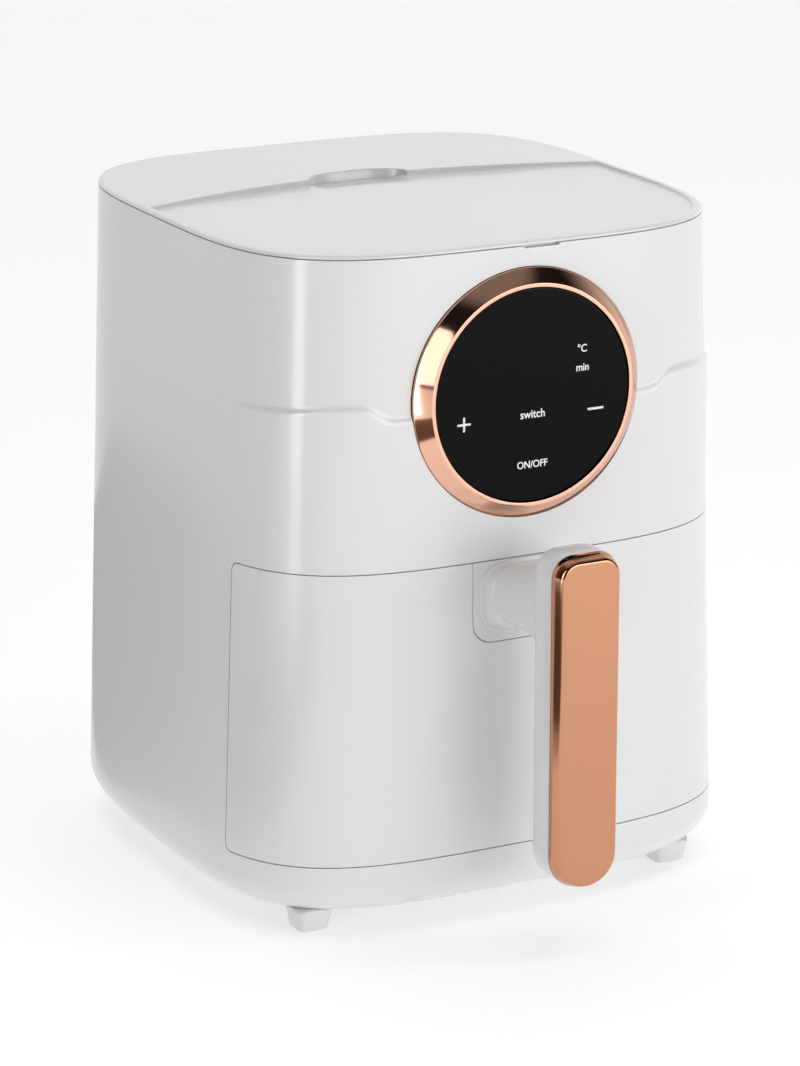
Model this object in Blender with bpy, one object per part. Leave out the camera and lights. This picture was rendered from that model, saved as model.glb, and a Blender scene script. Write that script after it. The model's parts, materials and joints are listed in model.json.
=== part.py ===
"""Countertop air fryer with a pull-out drawer, built as an assembly of separate pieces.

Lengths are in metres and +Z is up. The drawer front and its handle face -Y. Every piece is placed from
the upright centre line of the body, which stands BODY_CENTRE_Y behind the origin, so that the origin
lies under the middle of the whole object, handle included.
"""

import math

import bpy
import numpy as np

# Heights of the front: the drawer, then the display, then the cover
DRAWER_LOW = 0.0357
DRAWER_HIGH = 0.1751
RING_RADIUS = 0.0576  # outside of the display's ring
RING_TO_DRAWER = 0.0183
RING_TO_COVER = 0.0094
RING_HEIGHT = DRAWER_HIGH + RING_TO_DRAWER + RING_RADIUS
SEAM_HEIGHT = RING_HEIGHT + RING_RADIUS + RING_TO_COVER  # top edge of the housing

# Body: a squarish oval in plan that widens a little towards its foot.
WIDTH = 0.246  # across the body at the cover seam
DEPTH = 0.257  # front to back at the cover seam
COVER_RISE = 0.0022  # top of the cover above that seam
SQUARENESS = 3.83  # exponent of the plan outline: 2 is an ellipse, large values near a rectangle
FLARE_X = 0.0365  # how much each side moves out per metre of height downwards
FLARE_Y = 0.0136
FOOT_HEIGHT = 0.0095
FOOT_WIDTH = 0.019
BOTTOM_ROUND = 0.019  # radius under the body's lower edge
WALL = 0.0025
FLANGE_INSET = 0.042  # width of the housing's turned-in bottom flange, with its rounded edge
FOOT_IN_X = 0.0385  # how far the feet stand in from the sides and from the front
FOOT_IN_Y = 0.0342
SIDES = 48  # facets round the body

# Clearances
FIT = 0.0003  # between pieces that touch
SEAM = 0.0006  # open line between cover or rear cover and housing
DRAWER_GAP = 0.0008  # open line round the drawer front

# Top cover
COVER_EDGE = 0.0012  # rounding of the cover's rim
COVER_SKIRT = 0.0028
COVER_CORE = 0.0080  # thickness of the cover inside its skirt
RECESS_INSET = 0.0045
RECESS_FRONT = 0.0008  # depth of the recessed front area at its front edge
RECESS_BACK = 0.0024  # and at the step
STEP_BACK = 0.040  # the step's middle, behind the centre line
STEP_BOW = 0.0255  # how far the step's ends come forward of its middle
SCOOP_WIDTH = 0.052
SCOOP_REACH = 0.0115  # how far the finger scoop cuts into the rear area
SCOOP_DEPTH = 0.0048

# Drawer
DRAWER_BACK = 0.0775  # how far in front of the centre line the drawer front's side edges stop
DRAWER_CORNER = 0.0045
DRAWER_LIP = 0.012
DRAWER_TRAVEL_CLEAR = 0.0015  # pan to window

# Pan and crisper plate
PAN_CENTRE_Y = -0.005
PAN_HALF_X = 0.112
PAN_HALF_Y = 0.111
PAN_LOW = 0.047
PAN_RIM = 0.166
PAN_SHEET = 0.0012
PAN_FLANGE = 0.003
PAN_TAPER = 0.004
PLATE_LOW = 0.061
PLATE_SHEET = 0.0015
PLATE_GAP = 0.0030
BUMPER_RADIUS = 0.005

# Handle
HANDLE_REACH = 0.059  # front of the trim, ahead of the drawer front
HANDLE_WIDTH = 0.0335
HANDLE_LOW = 0.032
HANDLE_HIGH = 0.190
HANDLE_CORNER = 0.0105
GRIP_THICK = 0.0165
TRIM_THICK = 0.0068
TRIM_BEVEL = 0.0022
PATCH_HALF = 0.0274
PATCH_LOW = 0.136
PATCH_CORNER = 0.0095
NECK_HALF = 0.0175
BRACKET_HALF = 0.024
BRACKET_LOW = 0.142
BRACKET_HIGH = 0.162
BRACKET_SHEET = 0.0015

# Display
GLASS_RADIUS = RING_RADIUS - 0.0079
RING_PROUD = 0.0065
RING_EDGE = 0.0015  # height of the ring's outer edge above the body
GLASS_THICK = 0.003
HOLDER_RADIUS = RING_RADIUS - 0.0036
BOARD_THICK = 0.0016

# Heating chamber above the pan
CHAMBER_RADIUS = 0.096
CHAMBER_TOP = 0.2265
SHEET = 0.001
GUARD_HEIGHT = 0.186
GUARD_RADIUS = 0.092
ELEMENT_HEIGHT = 0.200
ELEMENT_OUTER = 0.080
ELEMENT_INNER = 0.058
ELEMENT_TUBE = 0.00325
REFLECTOR_HEIGHT = 0.2215
SHAFT_RADIUS = 0.003
IMPELLER_LOW = 0.2085
IMPELLER_RADIUS = 0.046
MOTOR_LOW = 0.2335
MOTOR_RADIUS = 0.027
MOTOR_TALL = 0.027
FAN_RADIUS = 0.040
FAN_TALL = 0.010

# Rear cover and cord gland
REAR_HALF = 0.074
REAR_LOW = 0.052
REAR_HIGH = SEAM_HEIGHT - 0.022
REAR_CORNER = 0.012
REAR_FLANGE = 0.009
GLAND_X = 0.050
GLAND_HEIGHT = 0.070
GLAND_RADIUS = 0.0062
GLAND_OUT = 0.010
CORD_RADIUS = 0.0034

# Fasteners
SCREW_SHANK = 0.0015
SCREW_HOLE = 0.0018
SCREW_HEAD = 0.0030


def half_sizes(height, inset=0.0):
    """Half width and half depth of the body's outline at a height, drawn in by inset."""
    below_seam = SEAM_HEIGHT - height
    return WIDTH / 2 + FLARE_X * below_seam - inset, DEPTH / 2 + FLARE_Y * below_seam - inset


COVER_TOP = SEAM_HEIGHT + COVER_RISE
DECK_LOW = DRAWER_HIGH + FIT
DECK_HIGH = DECK_LOW + WALL
BULKHEAD_FRONT = FIT - DRAWER_BACK
BULKHEAD_BACK = BULKHEAD_FRONT + WALL
WINDOW_HALF = PAN_HALF_X + DRAWER_TRAVEL_CLEAR
WINDOW_LOW = PAN_LOW - 0.004
WINDOW_HIGH = PAN_RIM + 0.006


def front_of(height, inset=0.0):
    """Y of the body's front face on its centre line."""
    return -half_sizes(height, inset)[1]


def surface_y(x, height, inset=0.0):
    """Depth of the body's outline beside the centre line, as a positive distance."""
    half_x, half_y = half_sizes(height, inset)
    return half_y * (1 - abs(x / half_x) ** SQUARENESS) ** (1 / SQUARENESS)


HANDLE_FRONT = front_of(PATCH_LOW) - HANDLE_REACH
GLAND_BACK = surface_y(GLAND_X, GLAND_HEIGHT) + GLAND_OUT
BODY_CENTRE_Y = -(HANDLE_FRONT + GLAND_BACK) / 2


# ---------------------------------------------------------------- outlines and meshes


def superellipse(half_x, half_y, count=SIDES):
    """|x / half_x|^n + |y / half_y|^n = 1 as count points, anticlockwise."""
    angle = 2 * math.pi * np.arange(count) / count
    cos, sin = np.cos(angle), np.sin(angle)
    power = 2 / SQUARENESS
    x = half_x * np.sign(cos) * np.abs(cos) ** power
    y = half_y * np.sign(sin) * np.abs(sin) ** power
    return np.column_stack([x, y])


def circle(radius, count, start=0.0):
    """Regular polygon on a circle, anticlockwise."""
    angle = start + 2 * math.pi * np.arange(count) / count
    return radius * np.column_stack([np.cos(angle), np.sin(angle)])


def rounded_rectangle(low, high, radii, steps=4):
    """Rectangle with a radius for each corner: low-low, high-low, high-high, low-high, anticlockwise."""
    corners = ((low[0], low[1]), (high[0], low[1]), (high[0], high[1]), (low[0], high[1]))
    inward = ((1, 1), (-1, 1), (-1, -1), (1, -1))
    points = []
    for turn, (corner, sign, radius) in enumerate(zip(corners, inward, radii)):
        if radius == 0:
            points.append(corner)
            continue
        centre = (corner[0] + sign[0] * radius, corner[1] + sign[1] * radius)
        start = math.pi + turn * math.pi / 2
        for step in range(steps + 1):
            angle = start + step / steps * math.pi / 2
            points.append((centre[0] + radius * math.cos(angle), centre[1] + radius * math.sin(angle)))
    return np.array(points)


def level(points, height):
    """A plan outline laid flat at a height."""
    return np.column_stack([points, np.full(len(points), height)])


def body_ring(height, inset=0.0):
    return level(superellipse(*half_sizes(height, inset)), height)


def upright(points, y):
    """An outline of (x, z) points stood up in the plane y, wound so that it faces +Y."""
    return np.column_stack([points[::-1, 0], np.full(len(points), y), points[::-1, 1]])


def sideways(points, x):
    """An outline of (y, z) points stood up in the plane x, wound so that it faces +X."""
    return np.column_stack([np.full(len(points), x), points])


def material(name, colour, roughness, metallic=0.0):
    """A Principled material, made once for each name."""
    found = bpy.data.materials.get(name)
    if found:
        return found
    made = bpy.data.materials.new(name)
    made.use_nodes = True
    shader = made.node_tree.nodes["Principled BSDF"]
    shader.inputs["Base Color"].default_value = (*colour, 1.0)
    shader.inputs["Roughness"].default_value = roughness
    shader.inputs["Metallic"].default_value = metallic
    return made


def white_shell():
    return material("white_gloss_plastic", (0.86, 0.86, 0.85), 0.22)


def grey_plastic():
    return material("grey_plastic", (0.30, 0.30, 0.31), 0.55)


def copper_trim():
    return material("rose_gold_plating", (0.80, 0.46, 0.32), 0.18, 1.0)


def black_glass():
    return material("black_glass", (0.012, 0.012, 0.014), 0.06)


def pan_coating():
    return material("nonstick_coating", (0.05, 0.05, 0.055), 0.42, 0.3)


def sheet_steel():
    return material("sheet_steel", (0.62, 0.62, 0.62), 0.35, 1.0)


def aluminium():
    return material("aluminium", (0.76, 0.76, 0.77), 0.38, 1.0)


def silicone():
    return material("black_silicone", (0.03, 0.03, 0.03), 0.75)


def circuit_board():
    return material("circuit_board", (0.03, 0.16, 0.07), 0.5)


def screw_steel():
    return material("zinc_screw", (0.58, 0.58, 0.60), 0.32, 1.0)


def add_object(name, points, faces, skin, parent, smooth=35.0):
    """A mesh object with one material, shaded smooth except at edges sharper than smooth degrees."""
    mesh = bpy.data.meshes.new(name)
    mesh.from_pydata(points.tolist(), [], faces)
    mesh.validate()
    if skin:
        mesh.materials.append(skin)
    mesh.shade_smooth()
    mesh.set_sharp_from_angle(angle=math.radians(smooth))
    made = bpy.data.objects.new(name, mesh)
    made.parent = parent
    bpy.context.scene.collection.objects.link(made)
    return made


def loft(name, rings, skin, parent, loop=False):
    """Joins equal rings by quads, in order; loop joins the last to the first, otherwise both ends close.

    Rings that run anticlockwise seen from +Z and rise give faces that point outwards.
    """
    count = len(rings[0])
    bands = len(rings) if loop else len(rings) - 1
    step = np.arange(count)
    after = (step + 1) % count
    faces = []
    for band in range(bands):
        low = band * count
        high = (band + 1) % len(rings) * count
        quads = np.column_stack([low + step, low + after, high + after, high + step])
        faces.extend(quads.tolist())
    if not loop:
        faces.append(step[::-1].tolist())
        faces.append(((len(rings) - 1) * count + step).tolist())
    return add_object(name, np.vstack(rings), faces, skin, parent)


def turned(name, profile, skin, parent, axis="Z", centre=(0.0, 0.0, 0.0), count=32, loop=False, start=0.0):
    """A turned piece: profile lists (distance along the axis, radius), rising along its outer side."""
    rings = []
    for along, radius in profile:
        flat = circle(radius, count, start)
        if axis == "Z":
            ring = level(flat, along)
        else:
            ring = upright(flat, along)
        rings.append(ring + np.array(centre))
    return loft(name, rings, skin, parent, loop)


def block(name, low, high, skin, parent):
    """A plain box between two corners."""
    flat = np.array([(low[0], low[1]), (high[0], low[1]), (high[0], high[1]), (low[0], high[1])])
    return loft(name, [level(flat, low[2]), level(flat, high[2])], skin, parent)


def helper(made):
    """Marks an object as a tool for a Boolean, which is no piece of the product."""
    made.hide_render = True
    made.display_type = "WIRE"
    return made


def boolean(target, tool, operation="DIFFERENCE"):
    """Cuts, joins or intersects the target with a helper object."""
    modifier = target.modifiers.new(tool.name, "BOOLEAN")
    modifier.operation = operation
    modifier.solver = "EXACT"
    modifier.object = helper(tool)
    return target


def drill(target, name, centres, radius, low, high, parent, axis="Z", count=12):
    """Cuts round holes along the axis through the target, from low to high along it.

    A hole's facets are turned off the axes, so that none of its corners lies on an edge of the target.
    """
    for number, centre in enumerate(centres):
        ends = [(low, radius), (high, radius)]
        tool = turned(f"{name}_{number}", ends, None, parent, axis, centre, count, start=0.13)
        boolean(target, tool)
    return target


def frame(name, place, parent=None):
    """An empty that carries one moving group."""
    made = bpy.data.objects.new(name, None)
    made.location = place
    made.parent = parent
    bpy.context.scene.collection.objects.link(made)
    return made


def screw(name, head, length, parent, axis="Z", away=1.0, head_tall=0.0018):
    """A pan-head screw: its head's under face is at head, and its shank runs along away * axis."""
    profile = [
        (-head_tall, SCREW_HEAD * 0.75),
        (0.0, SCREW_HEAD),
        (0.0, SCREW_SHANK),
        (length, SCREW_SHANK),
    ]
    stations = [(away * along, radius) for along, radius in profile]
    if away < 0:
        stations = stations[::-1]
    return turned(name, stations, screw_steel(), parent, axis, head, 9)


# ---------------------------------------------------------------- housing, cover, base and feet


def edge_stations(thickness, steps):
    """(height, inset) round the bottom edge, from the flat bottom to the upright side."""
    radius = BOTTOM_ROUND - thickness
    angles = [step / steps * math.pi / 2 for step in range(steps + 1)]
    base = FOOT_HEIGHT + BOTTOM_ROUND
    return [(base - radius * math.cos(a), BOTTOM_ROUND - radius * math.sin(a)) for a in angles]


def foot_places():
    half_x, half_y = half_sizes(FOOT_HEIGHT)
    x, y = half_x - FOOT_IN_X, half_y - FOOT_IN_Y
    return {"front_left": (-x, -y), "front_right": (x, -y), "rear_left": (-x, y), "rear_right": (x, y)}


def base_screw_places():
    half_x, half_y = half_sizes(FOOT_HEIGHT, FLANGE_INSET - 0.004)
    return [(half_x, 0.0), (-half_x, 0.0), (0.0, half_y), (0.0, -half_y)]


def rear_screw_places():
    """(x, y, z) on the housing's outer surface, outside the rear cover's edge."""
    x = REAR_HALF + 0.0048
    heights = (REAR_LOW + 0.030, REAR_HIGH - 0.030)
    return [(side * x, surface_y(x, height), height) for height in heights for side in (-1, 1)]


def drawer_outline(gap):
    """The drawer front seen from the side, as (y, z), shrunk by gap and open towards the front."""
    low = (-DEPTH, DRAWER_LOW + gap)
    high = (-DRAWER_BACK - gap, DRAWER_HIGH - gap)
    corner = DRAWER_CORNER - gap
    return rounded_rectangle(low, high, (0, corner, corner, 0))


def rear_outline(grow):
    low = (-REAR_HALF - grow, REAR_LOW - grow)
    high = (REAR_HALF + grow, REAR_HIGH + grow)
    return rounded_rectangle(low, high, [REAR_CORNER + grow] * 4, 3)


def make_housing(home):
    """Front, sides, back and turned-in bottom in one moulding, with its openings."""
    outer = [(FOOT_HEIGHT, FLANGE_INSET), *edge_stations(0.0, 4), (SEAM_HEIGHT, 0.0)]
    inner = [(SEAM_HEIGHT, WALL), *edge_stations(WALL, 3)[::-1], (FOOT_HEIGHT + WALL, FLANGE_INSET)]
    rings = [body_ring(height, inset) for height, inset in outer + inner]
    housing = loft("main_housing", rings, white_shell(), home, loop=True)

    opening = drawer_outline(0.0)
    sides = [sideways(opening, -WIDTH), sideways(opening, WIDTH)]
    boolean(housing, loft("cut_drawer_opening", sides, None, home))

    y = front_of(RING_HEIGHT)
    profile = [(y - 0.01, RING_RADIUS + FIT), (y + 0.02, RING_RADIUS + FIT)]
    hole = turned("cut_display_hole", profile, None, home, "Y", (0, 0, RING_HEIGHT), 48)
    boolean(housing, hole)

    window = rear_outline(SEAM)
    walls = [upright(window, DEPTH / 4), upright(window, DEPTH)]
    boolean(housing, loft("cut_rear_opening", walls, None, home))

    rear = [(x, 0.0, height) for x, _, height in rear_screw_places()]
    drill(housing, "cut_rear_screw", rear, SCREW_HOLE, DEPTH / 4, DEPTH, home, "Y")
    low, high = FOOT_HEIGHT - WALL, FOOT_HEIGHT + 2 * WALL
    base = [(x, y, 0.0) for x, y in base_screw_places()]
    drill(housing, "cut_base_screw", base, SCREW_HOLE, low, high, home)
    pegs = [(x, y, 0.0) for x, y in foot_places().values()]
    drill(housing, "cut_foot_peg", pegs, 0.0032, low, high + 2 * WALL, home)
    return housing


def step_line(x):
    """Y of the step across the cover: bowed, its ends nearer the front."""
    return STEP_BACK - STEP_BOW * (x / (WIDTH / 2)) ** 2


def recess_floor(y):
    """Height of the recessed front area, sloping gently down from the front to the step."""
    start = front_of(SEAM_HEIGHT, RECESS_INSET)
    share = (y - start) / (STEP_BACK + SCOOP_REACH - start)
    return COVER_TOP - RECESS_FRONT - (RECESS_BACK - RECESS_FRONT) * share


def make_top_cover(home):
    """The lid of the housing, with a skirt inside the rim and a recessed front area."""
    rim = SEAM_HEIGHT + SEAM
    under = COVER_TOP - COVER_CORE
    inside = WALL + FIT
    stations = [
        (under, inside + WALL),
        (under - COVER_SKIRT, inside + WALL),
        (under - COVER_SKIRT, inside),
        (rim, inside),
        (rim, 0.0),
        (COVER_TOP - COVER_EDGE, 0.0),
        (COVER_TOP - COVER_EDGE * 0.3, COVER_EDGE * 0.3),
        (COVER_TOP, COVER_EDGE),
    ]
    cover = loft("top_cover", [body_ring(*station) for station in stations], white_shell(), home)

    half_x, half_y = half_sizes(SEAM_HEIGHT, RECESS_INSET)
    plan = superellipse(half_x, half_y)
    front = plan[plan[:, 1] < step_line(plan[:, 0])]
    order = np.argsort(np.arctan2(front[:, 0], -front[:, 1]))
    front = front[order]
    across = np.linspace(front[-1, 0], front[0, 0], 18) * 0.999
    outline = np.vstack([front, np.column_stack([across, step_line(across)])])
    floor = np.column_stack([outline, recess_floor(outline[:, 1])])
    boolean(cover, loft("cut_recess", [floor, level(outline, COVER_TOP + 0.01)], None, home))

    half = SCOOP_WIDTH / 2
    front_y = STEP_BACK - 0.012
    radii = (0.006, 0.006, SCOOP_REACH, SCOOP_REACH)
    scoop = rounded_rectangle((-half, front_y), (half, STEP_BACK + SCOOP_REACH), radii, 5)
    share = (scoop[:, 1] - front_y) / (STEP_BACK + SCOOP_REACH - front_y)
    bottom = COVER_TOP - RECESS_BACK - (SCOOP_DEPTH - RECESS_BACK) * share
    tool = [np.column_stack([scoop, bottom]), level(scoop, COVER_TOP + 0.01)]
    boolean(cover, loft("cut_scoop", tool, None, home))
    return cover


def make_rear_cover(home):
    """Removable back panel: a plug flush with the back and a flange behind it, louvred for hot air."""
    deep = WALL + FIT + 0.002
    heights = (REAR_LOW - 0.02, REAR_HIGH + 0.015)

    def skin_between(name, near, far, skin):
        rings = [body_ring(heights[0], near), body_ring(heights[1], near)]
        rings += [body_ring(heights[1], far), body_ring(heights[0], far)]
        return loft(name, rings, skin, home, loop=True)

    def kept(name, grow):
        outline = rear_outline(grow)
        return loft(name, [upright(outline, DEPTH / 4), upright(outline, DEPTH)], None, home)

    cover = skin_between("rear_cover", 0.0, deep - 0.0007, white_shell())
    boolean(cover, kept("keep_rear_plug", 0.0), "INTERSECT")
    flange = skin_between("join_rear_flange", WALL + FIT, deep, None)
    boolean(flange, kept("keep_rear_flange", REAR_FLANGE), "INTERSECT")
    boolean(cover, flange, "UNION")

    for row in range(6):
        for side in (-1, 1):
            x = side * 0.0300
            z = 0.200 + row * 0.0125
            low, high = (x - 0.0245, DEPTH / 4, z), (x + 0.0245, DEPTH, z + 0.0050)
            boolean(cover, block(f"cut_louvre_{row}_{side}", low, high, None, home))
    rear = [(x, 0.0, height) for x, _, height in rear_screw_places()]
    drill(cover, "cut_cover_screw", rear, SCREW_HOLE, DEPTH / 4, DEPTH, home, "Y")
    hole = [(GLAND_X, 0.0, GLAND_HEIGHT)]
    drill(cover, "cut_gland_hole", hole, GLAND_RADIUS + 2 * FIT, DEPTH / 4, DEPTH, home, "Y", 20)
    return cover


def make_cord_gland(home):
    """Bush that grips the mains cord where it leaves the rear cover, with its bore left open."""
    y = surface_y(GLAND_X, GLAND_HEIGHT)
    inner = surface_y(GLAND_X, GLAND_HEIGHT, WALL + FIT + 0.002)
    profile = [
        (inner - 0.004, CORD_RADIUS),
        (inner - 0.004, GLAND_RADIUS),
        (y + 0.0006, GLAND_RADIUS),
        (y + 0.0006, GLAND_RADIUS * 1.35),
        (y + 0.0026, GLAND_RADIUS * 1.30),
        (y + GLAND_OUT, GLAND_RADIUS * 0.80),
        (y + GLAND_OUT, CORD_RADIUS),
    ]
    place = (GLAND_X, 0.0, GLAND_HEIGHT)
    return turned("cord_gland", profile, silicone(), home, "Y", place, 16, loop=True)


def make_base(home):
    """Bottom plate under the housing's flange, and four feet pushed into the flange."""
    high = FOOT_HEIGHT - FIT
    inset = FLANGE_INSET - 0.008
    plan = superellipse(*half_sizes(FOOT_HEIGHT, inset), 40)
    plate = loft("base_plate", [level(plan, high - 0.002), level(plan, high)], white_shell(), home)
    base = [(x, y, 0.0) for x, y in base_screw_places()]
    drill(plate, "cut_plate_screw", base, SCREW_HOLE, high - 0.01, high + 0.01, home)
    for row in range(5):
        y = (row - 2) * 0.016
        low, top = (-0.030, y - 0.002, high - 0.01), (0.030, y + 0.002, high + 0.01)
        boolean(plate, block(f"cut_base_vent_{row}", low, top, None, home))
    for number, (x, y) in enumerate(base_screw_places()):
        screw(f"base_screw_{number + 1}", (x, y, high - 0.002 - FIT), 0.009, home)

    half = FOOT_WIDTH / 2
    for name, (x, y) in foot_places().items():
        rings = []
        for z, size, corner in ((0.0, half * 0.80, 0.004), (0.001, half * 0.86, 0.005), (high, half, 0.006)):
            flat = rounded_rectangle((x - size, y - size), (x + size, y + size), [corner] * 4, 3)
            rings.append(level(flat, z))
        foot = loft(f"foot_{name}", rings, white_shell(), home)
        peg = [(high - 0.003, 0.0027), (FOOT_HEIGHT + WALL + 0.002, 0.0027)]
        boolean(foot, turned(f"join_peg_{name}", peg, None, home, "Z", (x, y, 0.0), 12), "UNION")


def make_chamber_frame(home):
    """Deck over the pan with a round opening, and the bulkhead behind the drawer front with its window."""
    inset = WALL + FIT
    low = DRAWER_LOW - 0.005
    rings = [body_ring(low, inset), body_ring(DECK_HIGH, inset)]
    made = loft("chamber_frame", rings, grey_plastic(), home)
    wide = WIDTH
    front = block("cut_frame_front", (-wide, -DEPTH, low - 0.01), (wide, BULKHEAD_FRONT, DECK_LOW), None, home)
    back = block("cut_frame_back", (-wide, BULKHEAD_BACK, low - 0.01), (wide, DEPTH, DECK_LOW), None, home)
    boolean(made, front)
    boolean(made, back)
    y = (BULKHEAD_FRONT - 0.01, BULKHEAD_BACK + 0.01)
    window = rounded_rectangle((-WINDOW_HALF, WINDOW_LOW), (WINDOW_HALF, WINDOW_HIGH), [0.010] * 4, 3)
    boolean(made, loft("cut_window", [upright(window, y[0]), upright(window, y[1])], None, home))
    hole = [(DECK_LOW - 0.01, CHAMBER_RADIUS - 0.003), (DECK_HIGH + 0.01, CHAMBER_RADIUS - 0.003)]
    boolean(made, turned("cut_chamber", hole, None, home, "Z", chamber_place(), 40, start=0.05))
    span = (DECK_LOW - 0.01, DECK_HIGH + 0.01)
    drill(made, "cut_plunger_hole", [switch_place()], 0.0020, *span, home)
    beside = REAR_HALF + REAR_FLANGE + 0.003
    clear = half_sizes(DECK_LOW)[1] - 0.016
    boolean(made, block("cut_frame_rear", (-beside, clear, span[0]), (beside, DEPTH, span[1]), None, home))
    return made


def make_liner(home):
    """Sheet-metal trough that the pan slides in: floor, two sides and back, open above and in front."""
    front = BULKHEAD_BACK + FIT
    half_x = WINDOW_HALF + 0.003
    back = half_sizes(DECK_LOW, WALL)[1] - 0.012

    def trough(inset):
        reach = back - inset
        rear = superellipse(half_x - inset, reach, 48)
        rear = rear[rear[:, 1] >= -1e-9]
        return np.vstack([rear, [(-half_x + inset, front + inset), (half_x - inset, front + inset)]])

    low = WINDOW_LOW - 0.003
    high = DECK_LOW - FIT
    outer, inner = trough(0.0), trough(SHEET)
    rings = [level(outer, low), level(outer, high), level(inner, high), level(inner, low + SHEET)]
    made = loft("cavity_liner", rings, sheet_steel(), home)
    mouth = ((-half_x + SHEET, front - 0.01, low + SHEET), (half_x - SHEET, front + 0.01, high + 0.01))
    boolean(made, block("cut_liner_mouth", *mouth, None, home))
    return made


# ---------------------------------------------------------------- display


def make_display(home):
    """Plated ring, black glass, holder and circuit board, all square to the front."""
    y = front_of(RING_HEIGHT)
    place = (0.0, 0.0, RING_HEIGHT)
    glass_front = y - RING_PROUD + 0.0008
    glass_back = glass_front + GLASS_THICK
    ring_back = y + 0.0049
    holder_front = ring_back + FIT
    ring = [
        (ring_back, GLASS_RADIUS - 0.0030),
        (glass_back + FIT, GLASS_RADIUS - 0.0030),
        (glass_back + FIT, GLASS_RADIUS),
        (y - RING_PROUD, GLASS_RADIUS),
        (y - RING_PROUD, GLASS_RADIUS + 0.0006),
        (y - RING_EDGE, RING_RADIUS - 0.0004),
        (y - RING_EDGE + 0.0006, RING_RADIUS),
        (ring_back, RING_RADIUS),
    ]
    turned("display_ring", ring, copper_trim(), home, "Y", place, 44, loop=True)
    glass = [(glass_front, GLASS_RADIUS - FIT - 0.0004), (glass_front + 0.0004, GLASS_RADIUS - FIT)]
    glass.append((glass_back, GLASS_RADIUS - FIT))
    turned("display_glass", glass, black_glass(), home, "Y", place, 44)

    holder = [
        (holder_front, RING_RADIUS - 0.012),
        (holder_front, RING_RADIUS - 0.001),
        (holder_front + 0.002, RING_RADIUS - 0.001),
        (holder_front + 0.002, HOLDER_RADIUS - 0.002),
        (holder_front + 0.009, HOLDER_RADIUS - 0.002),
        (holder_front + 0.009, HOLDER_RADIUS - 0.004),
        (holder_front + 0.002, RING_RADIUS - 0.012),
    ]
    turned("display_holder", holder, grey_plastic(), home, "Y", place, 32, loop=True)
    board_front = glass_back + 0.0010
    board = [(board_front, GLASS_RADIUS - 0.0045), (board_front + BOARD_THICK, GLASS_RADIUS - 0.0045)]
    made = turned("display_board", board, circuit_board(), home, "Y", place, 32)
    back = board_front + BOARD_THICK
    chips = (((-0.012, 0.004), (0.010, 0.020), 0.0025), ((0.006, -0.022), (0.024, -0.010), 0.004))
    for number, (low, high, tall) in enumerate(chips):
        corner = (low[0], back - 0.0008, RING_HEIGHT + low[1])
        far = (high[0], back + tall, RING_HEIGHT + high[1])
        boolean(made, block(f"join_chip_{number}", corner, far, None, home), "UNION")


# ---------------------------------------------------------------- heating chamber, motor and fans


def chamber_place(height=0.0):
    return (0.0, PAN_CENTRE_Y, height)


def element_path():
    """The heater's two flat turns: the outer one, a short blend inwards and the inner one."""
    turns = np.linspace(0.0, 1.0, 45)
    start = math.asin(0.012 / ELEMENT_OUTER)
    angle = math.pi / 2 - start - turns * (4 * math.pi - 2 * start)
    blend = 0.5 - 0.5 * np.cos(np.pi * np.clip((turns - 0.42) / 0.16, 0, 1))
    radius = ELEMENT_OUTER + (ELEMENT_INNER - ELEMENT_OUTER) * blend
    return np.column_stack([radius * np.cos(angle), radius * np.sin(angle) + PAN_CENTRE_Y])


def terminal_places():
    path = element_path()
    return [(point[0], point[1], 0.0) for point in (path[0], path[-1])]


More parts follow.
